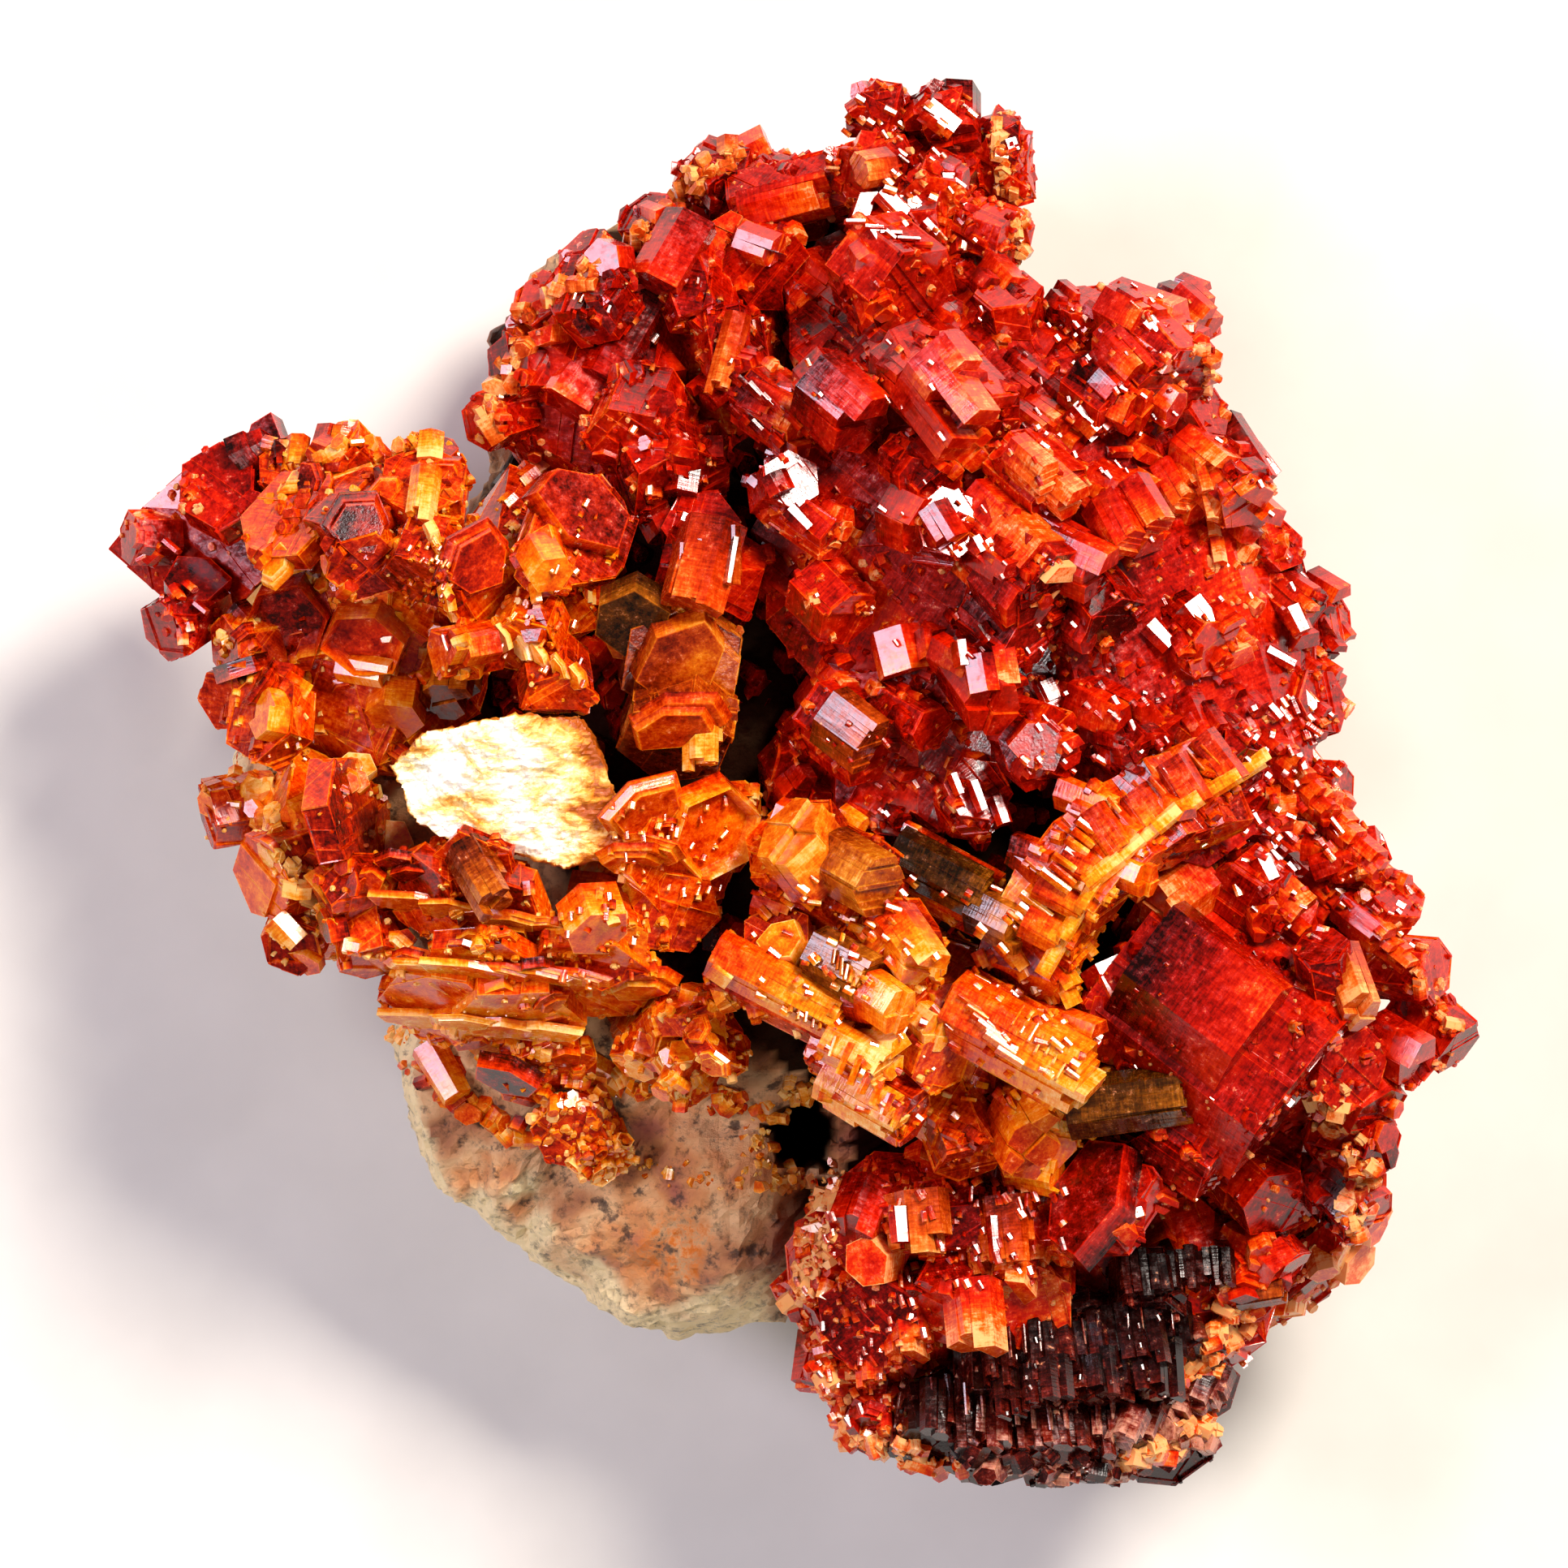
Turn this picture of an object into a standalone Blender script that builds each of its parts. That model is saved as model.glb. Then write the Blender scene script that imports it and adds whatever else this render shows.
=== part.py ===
"""Vanadinite on matrix: a hand specimen that lies on the flat of its host rock, crystals up.

A lump of tan, pitted host rock carries a thick druse of vanadinite. The crystals are six-sided
tablets and short prisms, grown together in clusters. A chip of pale rock still sticks out among
them, and the rock is bare on one flank, where a hole goes down into it.

The frame: the origin is the middle of the flat that the rock rests on, +Z is up and +Y is the
long way of the specimen. Shapes are worked out in millimetres and brought to metres as each
piece is finished.
"""

import math
import random

import bmesh
import bpy
from mathutils import Matrix, Vector

# Driving dimensions, in millimetres unless the name says otherwise.
MM = 0.001
GAP = 0.3  # clear space that every piece keeps to its neighbours
RIM_RADIUS = 1.05  # crystals that make the druse's outer edge
RIM_HEIGHT = 1.9
PIT_RADIUS = 0.6
HOLE = (0.5, -11.2)  # where the hole in the rock is, how wide and how deep
HOLE_RADIUS = 1.25
HOLE_DEPTH = 5.0
FLOOR_BLOCK = 60.0  # wide enough to cut the whole underside flat

# The specimen's swells: place, height of the crown, and radius of curvature of its cap.
SWELLS = {
    "right_mass": (6.5, 7.5, 18.5, 9.0),
    "right_foot": (13.5, -6.0, 16.5, 8.0),
    "ridge": (11.0, -1.5, 18.0, 6.0),
    "middle": (3.5, -6.0, 17.5, 7.0),
    "left_tier": (-9.5, 4.5, 15.5, 8.0),
    "chip": (-8.0, -0.5, 16.5, 8.0),
    "left_lobe": (-18.0, 7.5, 9.5, 7.0),
    "upper_left": (-5.5, 12.5, 13.0, 8.0),
    "top_knob": (4.5, 18.5, 11.5, 5.0),
    "lower_bowl": (6.0, -16.5, 13.0, 8.0),
    "bare_flank": (-5.0, -10.5, 11.0, 7.0),
}


def relief(x, y):
    """The height of the specimen's surface there: the highest of its swells."""
    return max(
        top - ((x - cx) ** 2 + (y - cy) ** 2) / (2.0 * curve)
        for cx, cy, top, curve in SWELLS.values()
    )


# ---- convex shapes that a piece is fused from: each is built at its size, or grown by a gap ----


def crystal(x, y, lift, radius, height, lean, heading, spin=0.0, stretch=1.0):
    """A six-sided prism centred lift above the relief, its c axis leaning towards heading."""

    def build(grow=0.0):
        shape = bmesh.new()
        reach = radius + grow / math.cos(math.pi / 6)
        bmesh.ops.create_cone(
            shape, cap_ends=True, segments=6, radius1=reach, radius2=reach,
            depth=height + 2.0 * grow,
        )
        bmesh.ops.scale(shape, vec=(stretch, 1.0, 1.0), verts=shape.verts)
        turn = (
            Matrix.Rotation(math.radians(heading), 4, "Z")
            @ Matrix.Rotation(math.radians(lean), 4, "Y")
            @ Matrix.Rotation(math.radians(spin), 4, "Z")
        )
        place = Matrix.Translation((x, y, relief(x, y) + lift))
        bmesh.ops.transform(shape, matrix=place @ turn, verts=shape.verts)
        return shape

    return build


def hull_of(points):
    """The convex hull of these points, as a closed mesh."""
    shape = bmesh.new()
    corners = [shape.verts.new(p) for p in points]
    made = bmesh.ops.convex_hull(shape, input=corners)
    spare = {v for v in made["geom_interior"] if isinstance(v, bmesh.types.BMVert)}
    bmesh.ops.delete(shape, geom=list(spare), context="VERTS")
    bmesh.ops.recalc_face_normals(shape, faces=shape.faces)
    return shape


def lump(x, y, z, rx, ry, rz, seed, points=16, rough=0.09):
    """A faceted knob: the hull of points spread evenly over an ellipsoid, then roughened."""

    def build(grow=0.0):
        luck = random.Random(seed)
        golden = math.pi * (3.0 - math.sqrt(5.0))
        corners = []
        for i in range(points):
            up = 1.0 - 2.0 * (i + 0.5) / points
            out = math.sqrt(1.0 - up * up)
            far = 1.0 + luck.uniform(-rough, rough)
            turn = golden * i + luck.uniform(-0.15, 0.15)
            way = Vector((out * math.cos(turn), out * math.sin(turn), up)) * far
            corners.append((
                x + way.x * (rx + 1.25 * grow),
                y + way.y * (ry + 1.25 * grow),
                z + way.z * (rz + 1.25 * grow),
            ))
        return hull_of(corners)

    return build


def swell(x, y, rx, ry, floor, sunk=0.7):
    """The bed of a stretch of crust: a dome that lies sunk below the relief, down to floor."""

    def build(grow=0.0):
        corners = []
        for share, count, on_floor in (
            (0.0, 1, False), (0.55, 5, False), (1.0, 9, False), (0.8, 7, True)
        ):
            for i in range(count):
                turn = 2.0 * math.pi * (i + share) / count
                cx = x + share * rx * math.cos(turn)
                cy = y + share * ry * math.sin(turn)
                out = 1.25 * grow * share
                height = floor - grow if on_floor else relief(cx, cy) - sunk + grow
                corners.append((cx + out * math.cos(turn), cy + out * math.sin(turn), height))
        return hull_of(corners)

    return build


def wedge(top, bottom):
    """A chip between a top and a bottom outline, each a list of corners."""

    def build(grow=0.0):
        middle = sum((Vector(p) for p in top + bottom), Vector()) / len(top + bottom)
        return hull_of([
            Vector(p) + (Vector(p) - middle).normalized() * 1.6 * grow
            for p in top + bottom
        ])

    return build


def rim(outline, inwards, drop, seed, radius=RIM_RADIUS, height=RIM_HEIGHT):
    """Crystals that stand along a stretch of the druse's edge, set in from its outline."""
    luck = random.Random(seed)
    made = []
    for x, y in outline:
        out = math.degrees(math.atan2(y - inwards[1], x - inwards[0]))
        size = radius * luck.uniform(0.85, 1.15)
        cx = x - math.cos(math.radians(out)) * size * 0.9
        cy = y - math.sin(math.radians(out)) * size * 0.9
        made.append(crystal(
            cx, cy, -drop, size, height * luck.uniform(0.8, 1.3),
            luck.uniform(35.0, 75.0), out + luck.uniform(-35.0, 35.0), luck.uniform(0.0, 60.0),
        ))
    return made


def parallel_growth(low, high, apart, keep_off, inside, lean, heading, seed, size=1.0):
    """Blocks in parallel growth, row by row between two corners, off the places in keep_off."""
    luck = random.Random(seed)
    made = []
    rows = int((high[1] - low[1]) / apart) + 1
    columns = int((high[0] - low[0]) / apart) + 1
    for row in range(rows):
        for column in range(columns):
            x = low[0] + (column + 0.5 * (row % 2)) * apart + luck.uniform(-0.3, 0.3) * apart
            y = low[1] + row * apart + luck.uniform(-0.3, 0.3) * apart
            radius = size * luck.uniform(0.7, 1.25)
            facts = (
                luck.uniform(-0.1, 0.45), luck.uniform(1.7, 2.7), lean + luck.uniform(-9.0, 9.0),
                heading + luck.uniform(-12.0, 12.0), luck.uniform(-8.0, 8.0),
                luck.uniform(0.8, 1.1),
            )
            free = all(math.hypot(x - kx, y - ky) > reach + radius for kx, ky, reach in keep_off)
            if free and inside(x, y):
                lift, height, tip, way, spin, stretch = facts
                made.append(crystal(x, y, lift, radius, height, tip, way, spin, stretch))
    return made


# ---- joining and cutting ----


def as_object(shape, name, home):
    mesh = bpy.data.meshes.new(name)
    shape.to_mesh(mesh)
    shape.free()
    made = bpy.data.objects.new(name, mesh)
    home.objects.link(made)
    return made


def boolean(body, others, operation):
    """Joins the other shapes to body, or cuts them from it, and gives the new mesh."""
    tools = bpy.data.collections.new("tools")
    bpy.context.scene.collection.children.link(tools)
    for shape in others:
        as_object(shape, "tool", tools)
    modifier = body.modifiers.new(operation, "BOOLEAN")
    modifier.operation = operation
    modifier.solver = "EXACT"
    modifier.operand_type = "COLLECTION"
    modifier.collection = tools
    graph = bpy.context.evaluated_depsgraph_get()
    result = bpy.data.meshes.new_from_object(body.evaluated_get(graph))
    body.modifiers.remove(modifier)
    body.data = result
    for helper in list(tools.objects):
        bpy.data.objects.remove(helper)
    bpy.data.collections.remove(tools)


def keep_largest(mesh):
    """Drops the crumbs that cutting leaves, so that a piece is one body."""
    shape = bmesh.new()
    shape.from_mesh(mesh)
    bmesh.ops.remove_doubles(shape, verts=shape.verts, dist=1e-4)
    seen = set()
    bodies = []
    for start in shape.faces:
        if start in seen:
            continue
        body, edge_on = [], [start]
        seen.add(start)
        while edge_on:
            face = edge_on.pop()
            body.append(face)
            for edge in face.edges:
                for other in edge.link_faces:
                    if other not in seen:
                        seen.add(other)
                        edge_on.append(other)
        bodies.append(body)
    bodies.sort(key=lambda body: sum(f.calc_area() for f in body), reverse=True)
    crumbs = [face for body in bodies[1:] for face in body]
    bmesh.ops.delete(shape, geom=crumbs, context="FACES")
    shape.to_mesh(mesh)
    shape.free()


def reach_of(shape):
    low = Vector(min(v.co[i] for v in shape.verts) for i in range(3))
    high = Vector(max(v.co[i] for v in shape.verts) for i in range(3))
    return low, high


def near(a, b):
    return all(a[0][i] < b[1][i] and b[0][i] < a[1][i] for i in range(3))


def finish(name, colour, roughness, body):
    """Brings a piece to metres and gives it its material."""
    body.data.transform(Matrix.Scale(MM, 4))
    paint = bpy.data.materials.new(name)
    paint.use_nodes = True
    shader = paint.node_tree.nodes["Principled BSDF"]
    shader.inputs["Base Color"].default_value = (*colour, 1.0)
    shader.inputs["Roughness"].default_value = roughness
    shader.inputs["Metallic"].default_value = 0.0
    body.data.materials.clear()
    body.data.materials.append(paint)


def make(name, members, earlier, colour, roughness, cutters=()):
    """Fuses a piece's members, keeps it clear of earlier pieces, and adds it to them."""
    body = as_object(members[0](), name, bpy.context.scene.collection)
    if len(members) > 1:
        boolean(body, [m() for m in members[1:]], "UNION")
    extents = [reach_of(m()) for m in members]
    close = []
    for other in earlier:
        grown = other(GAP)
        if any(near(reach_of(grown), extent) for extent in extents):
            close.append(grown)
    if close:
        boolean(body, close, "DIFFERENCE")
    if cutters:
        boolean(body, [c() for c in cutters], "DIFFERENCE")
    keep_largest(body.data)
    finish(name, colour, roughness, body)
    earlier.extend(members)
    return body


# ---- the host rock and its chip ----


def rock_members():
    return [
        lump(1.5, -0.5, 6.0, 15.5, 15.0, 7.2, seed=3, points=38, rough=0.05),
        lump(-11.6, 1.6, 5.8, 6.6, 7.2, 5.2, seed=5, points=22, rough=0.07),
        lump(-4.6, 11.4, 5.4, 5.4, 7.4, 4.8, seed=7, points=22, rough=0.06),
        lump(3.6, 15.6, 5.2, 4.4, 5.2, 4.4, seed=8, points=18, rough=0.06),
        lump(-8.2, -9.2, 6.4, 4.6, 5.2, 5.0, seed=9, points=22, rough=0.08),
        lump(-2.5, -12.5, 5.8, 5.3, 5.4, 5.4, seed=10, points=26, rough=0.08),
        lump(8.0, -14.4, 5.0, 7.2, 5.8, 4.6, seed=11, points=20, rough=0.06),
        lump(13.6, -5.5, 5.6, 5.6, 7.5, 4.8, seed=13, points=20, rough=0.06),
        lump(14.2, -11.6, 5.0, 4.4, 4.6, 4.4, seed=14, points=16, rough=0.06),
    ]


def hole(grow=0.0):
    """The hole that goes down into the rock beside the middle crystals."""
    x, y = HOLE
    wide = HOLE_RADIUS + grow
    return lump(x, y, relief(x, y) - 1.5, wide, wide, HOLE_DEPTH, seed=21, points=18)()


def rock_cutters():
    """The flat that the rock rests on, its hole, and pits in its bare flank."""

    def below():
        shape = bmesh.new()
        bmesh.ops.create_cube(shape, size=FLOOR_BLOCK)
        bmesh.ops.translate(shape, vec=(0.0, 0.0, -FLOOR_BLOCK / 2), verts=shape.verts)
        return shape

    luck = random.Random(4)
    pits = []
    for i, (x, y) in enumerate([
        (-7.4, -12.6), (-5.2, -13.4), (-2.6, -14.4),
    ]):
        size = PIT_RADIUS * luck.uniform(0.7, 1.4)
        top = 10.9 - 0.28 * math.hypot(x + 4.0, y + 10.0) ** 1.2
        pits.append(lump(x, y, top, size, size, size * 2.0, seed=30 + i, points=12))
    return [below, hole] + pits


def pale_chip():
    top = [
        (-12.6, 0.6, 16.4), (-11.3, 1.6, 17.0), (-8.8, 2.2, 17.8), (-6.5, 2.2, 17.6),
        (-5.7, 0.7, 17.5), (-5.1, -2.3, 16.9), (-7.0, -2.6, 16.5), (-8.6, -1.9, 16.6),
        (-11.0, -1.7, 16.2), (-11.9, -0.8, 16.2),
    ]
    bottom = [
        (-11.2, 0.4, 12.6), (-8.0, 1.7, 12.4), (-5.9, 1.2, 12.4), (-5.4, -1.9, 12.3),
        (-8.2, -1.8, 12.2), (-10.4, -1.2, 12.4),
    ]
    return [wedge(top, bottom)]


# ---- the vanadinite clusters ----


def notched_plate():
    return [
        crystal(-3.3, 4.0, 1.6, 2.1, 0.9, 24.0, 285.0, 8.0),
        crystal(-4.6, 5.2, 1.5, 1.3, 1.3, 30.0, 250.0, 12.0),
        crystal(-3.4, 1.9, 0.6, 1.9, 1.7, 48.0, 262.0, 20.0),
        crystal(-3.1, 3.0, -0.9, 1.5, 3.4, 6.0, 100.0, 0.0),
    ]


def shiny_prism():
    return [
        crystal(-2.6, 6.9, 1.2, 1.35, 2.3, 58.0, 74.0, 12.0),
        crystal(-1.7, 6.6, 0.6, 1.1, 2.0, 58.0, 74.0, 30.0),
        crystal(-2.6, 7.8, -0.4, 1.3, 2.2, 25.0, 95.0, 0.0),
    ]


def middle_cluster():
    return [
        lump(5.2, -7.8, 13.6, 4.6, 3.2, 2.6, seed=41, points=18),
        crystal(0.9, -2.6, 0.3, 1.75, 2.9, 52.0, 128.0, 10.0),
        crystal(2.2, -2.9, 0.1, 1.5, 2.6, 40.0, 330.0, 24.0),
        crystal(5.1, -3.1, -0.9, 1.15, 3.4, 78.0, 332.0, 8.0),
        crystal(3.7, -5.1, 0.4, 1.35, 1.9, 40.0, 305.0, 16.0),
        crystal(3.4, -6.7, 0.9, 0.95, 1.8, 55.0, 330.0, 0.0),
        crystal(-0.1, -5.2, 0.1, 1.2, 1.7, 30.0, 110.0, 12.0),
        crystal(1.9, -6.1, 0.4, 1.15, 2.2, 62.0, 332.0, 22.0),
        crystal(0.0, -6.8, 0.7, 0.95, 4.8, 82.0, 333.0, 14.0),
        crystal(2.2, -8.6, 0.7, 1.15, 2.2, 66.0, 334.0, 10.0),
        crystal(2.9, -9.9, 0.7, 1.05, 3.0, 70.0, 330.0, 4.0),
        crystal(4.5, -8.4, 0.3, 1.2, 2.0, 45.0, 320.0, 28.0),
        crystal(7.4, -8.1, 0.9, 1.35, 4.6, 76.0, 331.0, 6.0),
        crystal(7.7, -11.0, 0.4, 1.45, 2.0, 38.0, 300.0, 20.0),
        crystal(5.6, -11.0, 0.0, 1.25, 2.4, 60.0, 290.0, 0.0),
        crystal(10.9, -10.0, -0.2, 1.1, 3.7, 84.0, 8.0, 12.0),
    ]


def ridge_blade():
    """A curved wall of plates in parallel growth, its worn edge towards the red slab."""
    made = []
    steps = 6
    for i in range(steps):
        t = i / (steps - 1)
        turn = math.radians(158.0 - 52.0 * t)
        x = 15.5 + 8.2 * math.cos(turn)
        y = -8.6 + 8.6 * math.sin(turn)
        made.append(crystal(
            x, y, 0.5 - 0.9 * abs(t - 0.35), 1.5 - 0.3 * abs(t - 0.4), 2.9,
            74.0, math.degrees(turn) + 184.0, 3.0 * i, 0.8,
        ))
    made.append(lump(9.6, -2.9, 13.6, 3.0, 2.4, 2.6, seed=43, points=16))
    return made


def red_slab():
    return [
        lump(14.4, -6.6, 11.4, 5.0, 5.2, 3.9, seed=45),
        crystal(13.6, -7.7, -1.0, 3.5, 7.0, 82.0, 322.0, 4.0, 0.62),
        crystal(12.4, -10.0, -1.3, 2.4, 5.0, 78.0, 326.0, 0.0, 0.7),
        lump(15.4, -12.4, 8.8, 2.9, 2.7, 3.0, seed=47, points=14),
        crystal(15.2, -12.9, -2.2, 1.3, 2.0, 50.0, 315.0, 10.0),
        crystal(17.3, -6.2, 0.5, 0.95, 2.6, 52.0, 100.0, 0.0),
        crystal(14.8, -3.6, -0.9, 1.5, 1.8, 40.0, 220.0, 20.0),
        crystal(17.6, -8.9, -0.3, 1.5, 1.8, 40.0, 330.0, 18.0),
    ] + rim(
        [(18.9, -2.1), (19.9, -3.9), (20.9, -5.8), (21.6, -7.8), (20.2, -8.9), (19.2, -10.2),
         (18.9, -12.0), (18.6, -14.0)],
        (13.0, -6.5), 1.0, seed=51,
    )


def right_lobes():
    """Rounded crystals low on the side, behind the red slab's edge."""
    return [
        crystal(18.2, -11.4, -3.6, 1.5, 2.6, 80.0, 340.0, 10.0),
        crystal(17.4, -13.9, -4.2, 1.6, 2.6, 75.0, 320.0, 25.0),
        crystal(15.8, -15.4, -4.2, 1.7, 2.8, 70.0, 300.0, 5.0),
    ]


RIGHT_RIM = [
    (7.4, 15.8), (10.0, 15.4), (12.9, 15.2), (13.5, 12.2), (15.0, 9.9), (16.2, 7.6),
    (17.9, 5.2), (17.6, 2.2), (17.9, -0.6),
]


def right_druse():
    """The thickest crust: blocks in parallel growth over the specimen's highest swell."""
    beds = [
        swell(6.2, 7.8, 7.2, 7.6, 8.0),
        swell(13.0, 3.4, 4.6, 6.2, 7.6),
        swell(10.8, 12.2, 2.9, 3.4, 7.4, 1.0),
        swell(3.4, 14.8, 3.4, 3.0, 7.4, 1.0),
        swell(3.6, 1.0, 3.9, 2.8, 9.0),
    ]
    mains = [
        (5.4, 12.3, 0.7, 1.6, 3.3, 60.0, 314.0, 4.0, 1.0),
        (1.8, 12.1, 0.3, 1.3, 2.2, 30.0, 310.0, 6.0, 1.0),
        (-0.2, 11.9, 0.3, 1.1, 2.4, 60.0, 322.0, 0.0, 1.0),
        (0.0, 9.4, 0.6, 1.0, 1.8, 24.0, 50.0, 14.0, 1.0),
        (5.1, 8.1, 0.5, 1.2, 1.8, 18.0, 50.0, 22.0, 1.0),
        (8.0, 9.7, 0.4, 1.3, 2.4, 58.0, 318.0, 2.0, 1.0),
        (7.5, 7.1, 0.5, 1.7, 3.3, 62.0, 318.0, 0.0, 1.0),
        (3.8, 4.0, 0.9, 1.45, 1.9, 22.0, 80.0, 18.0, 1.0),
        (6.3, 3.3, 0.8, 1.05, 1.8, 26.0, 60.0, 10.0, 1.0),
        (2.1, 1.7, 0.4, 1.4, 2.4, 56.0, 322.0, 6.0, 1.0),
        (8.2, 1.3, 0.7, 1.1, 2.0, 24.0, 190.0, 10.0, 1.0),
        (6.0, -0.5, 0.2, 1.15, 1.9, 24.0, 60.0, 24.0, 1.0),
        (1.3, 0.1, -0.4, 1.9, 1.1, 34.0, 270.0, 16.0, 1.1),
        (11.8, 13.6, 0.7, 1.7, 2.6, 58.0, 310.0, 6.0, 1.0),
        (3.4, 16.2, 0.6, 1.8, 2.4, 50.0, 320.0, 6.0, 1.0),
    ]
    keep_off = [(x, y, 0.5 * radius) for x, y, _, radius, *_ in mains]

    def inside(x, y):
        in_top = (x - 7.0) ** 2 / 60.0 + (y - 7.6) ** 2 / 66.0 < 1.0
        return (in_top or (x - 13.5) ** 2 / 14.0 + (y - 2.8) ** 2 / 30.0 < 1.0) and x > -0.6

    growth = parallel_growth(
        (-1.0, -1.6), (17.0, 16.0), 3.5, keep_off, inside, 54.0, 317.0, seed=62, size=1.05
    )
    edge = rim(RIGHT_RIM, (6.5, 5.0), 1.2, seed=53)
    return beds + [crystal(*main) for main in mains] + growth + edge


def top_knob():
    return [
        lump(4.8, 19.4, 8.6, 3.2, 2.6, 2.6, seed=71, points=14),
        lump(-0.9, 18.8, 7.8, 3.0, 1.9, 2.4, seed=73, points=12),
        lump(3.1, 21.6, 10.0, 1.15, 1.1, 1.4, seed=72, points=12),
        lump(5.0, 21.5, 10.2, 1.15, 1.1, 1.4, seed=74, points=12),
        lump(7.0, 19.9, 9.8, 1.2, 1.8, 1.5, seed=76, points=12),
        lump(-2.0, 19.5, 8.6, 1.6, 1.4, 1.5, seed=78, points=12),
        crystal(2.9, 19.8, 0.5, 0.95, 2.0, 50.0, 200.0, 12.0),
        crystal(4.9, 19.0, 0.6, 1.1, 1.8, 30.0, 250.0, 6.0),
        crystal(4.0, 17.9, 0.5, 1.0, 2.4, 74.0, 5.0, 8.0),
        crystal(0.4, 19.0, 0.1, 1.1, 4.0, 80.0, 14.0, 16.0),
        crystal(6.6, 17.6, -0.4, 1.1, 1.8, 60.0, 340.0, 14.0),
    ]


LEFT_WALL_RIM = [
    (-9.7, 11.8), (-9.1, 13.6), (-8.1, 15.6), (-6.4, 17.2), (-4.2, 18.4),
]


def upper_left_wall():
    """Smooth, rounded crystals on the slope towards the specimen's upper left edge."""
    return [
        lump(-5.6, 12.6, 9.0, 3.8, 4.4, 3.8, seed=75),
        lump(-1.8, 13.6, 8.8, 2.6, 3.8, 3.2, seed=77, points=14),
        lump(-7.3, 13.6, 11.2, 1.5, 1.6, 1.5, seed=79, points=14),
        crystal(-6.1, 15.6, 0.3, 1.4, 1.8, 46.0, 130.0, 20.0),
        crystal(-4.6, 11.6, 0.6, 1.6, 2.4, 44.0, 250.0, 14.0),
        crystal(-3.6, 9.9, 0.8, 1.8, 1.7, 52.0, 300.0, 0.0, 1.2),
        crystal(-3.0, 16.2, 0.1, 1.2, 3.0, 70.0, 290.0, 6.0),
        crystal(-1.6, 13.8, 0.3, 1.1, 2.4, 56.0, 280.0, 6.0),
        crystal(-0.6, 16.6, 0.0, 1.4, 1.2, 30.0, 320.0, 12.0, 1.3),
    ] + rim(LEFT_WALL_RIM, (-3.0, 12.0), 1.0, seed=55)


LEFT_RIM = [
    (-16.2, 10.4), (-13.8, 11.0), (-11.4, 10.8), (-17.9, 4.4), (-18.2, 2.6),
]


def left_blades():
    """Plates set on edge, and box-like crystals that are hollow at the end."""
    return [
        lump(-12.9, 4.6, 9.6, 4.6, 5.2, 3.5, seed=81),
        lump(-8.0, 6.8, 10.4, 3.0, 3.4, 3.1, seed=83, points=16),
        crystal(-15.6, 8.4, 0.8, 1.9, 0.8, 48.0, 130.0, 10.0),
        crystal(-13.7, 8.8, 0.9, 1.7, 0.8, 60.0, 112.0, 4.0),
        crystal(-11.5, 9.3, 0.8, 1.5, 1.2, 40.0, 95.0, 20.0),
        crystal(-13.4, 7.2, 1.0, 1.3, 1.2, 30.0, 280.0, 6.0),
        crystal(-16.0, 5.0, 1.0, 1.55, 2.0, 28.0, 215.0, 0.0),
        crystal(-11.4, 7.2, 0.8, 1.3, 1.8, 55.0, 250.0, 18.0),
        crystal(-13.3, 4.6, 1.2, 1.5, 1.9, 26.0, 255.0, 14.0),
        crystal(-16.4, 2.1, 0.6, 1.6, 1.1, 44.0, 160.0, 22.0),
        crystal(-14.2, 2.3, 0.8, 1.4, 0.9, 50.0, 330.0, 8.0),
        crystal(-11.9, 2.4, 0.7, 1.3, 1.6, 34.0, 275.0, 0.0),
        crystal(-10.1, 4.3, 0.9, 0.8, 2.0, 64.0, 190.0, 16.0),
        crystal(-6.6, 8.0, 0.9, 1.9, 0.9, 36.0, 30.0, 10.0, 1.15),
        crystal(-7.6, 7.0, 1.2, 0.95, 1.5, 20.0, 260.0, 20.0),
        crystal(-9.9, 6.6, 0.6, 1.5, 1.2, 50.0, 325.0, 12.0),
        crystal(-8.1, 4.9, 0.7, 1.2, 1.6, 44.0, 250.0, 6.0),
        crystal(-7.3, 3.3, 0.6, 1.2, 2.2, 40.0, 280.0, 8.0),
    ] + rim(LEFT_RIM, (-12.0, 5.0), 0.9, seed=57)


def left_lobe():
    """A low spur with smooth, dark tablets."""
    top = [
        (-21.7, 7.6, 7.4), (-20.6, 8.9, 8.8), (-18.6, 10.6, 9.6), (-16.4, 11.1, 10.2),
        (-15.6, 8.6, 10.9), (-16.3, 5.6, 10.4), (-18.2, 4.6, 8.6), (-20.2, 6.2, 8.4),
    ]
    bottom = [
        (-20.4, 7.6, 5.2), (-17.6, 9.8, 5.4), (-15.8, 8.4, 5.4), (-16.8, 5.6, 5.2),
    ]
    return [
        wedge(top, bottom),
        crystal(-20.3, 7.9, 0.0, 0.9, 1.5, 66.0, 180.0, 10.0),
        crystal(-19.1, 5.4, 0.3, 1.1, 2.2, 56.0, 215.0, 20.0),
        crystal(-17.9, 9.3, 0.7, 1.5, 0.9, 40.0, 120.0, 0.0, 1.25),
        crystal(-17.4, 7.2, 0.9, 1.6, 1.2, 20.0, 300.0, 8.0),
    ]


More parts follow.
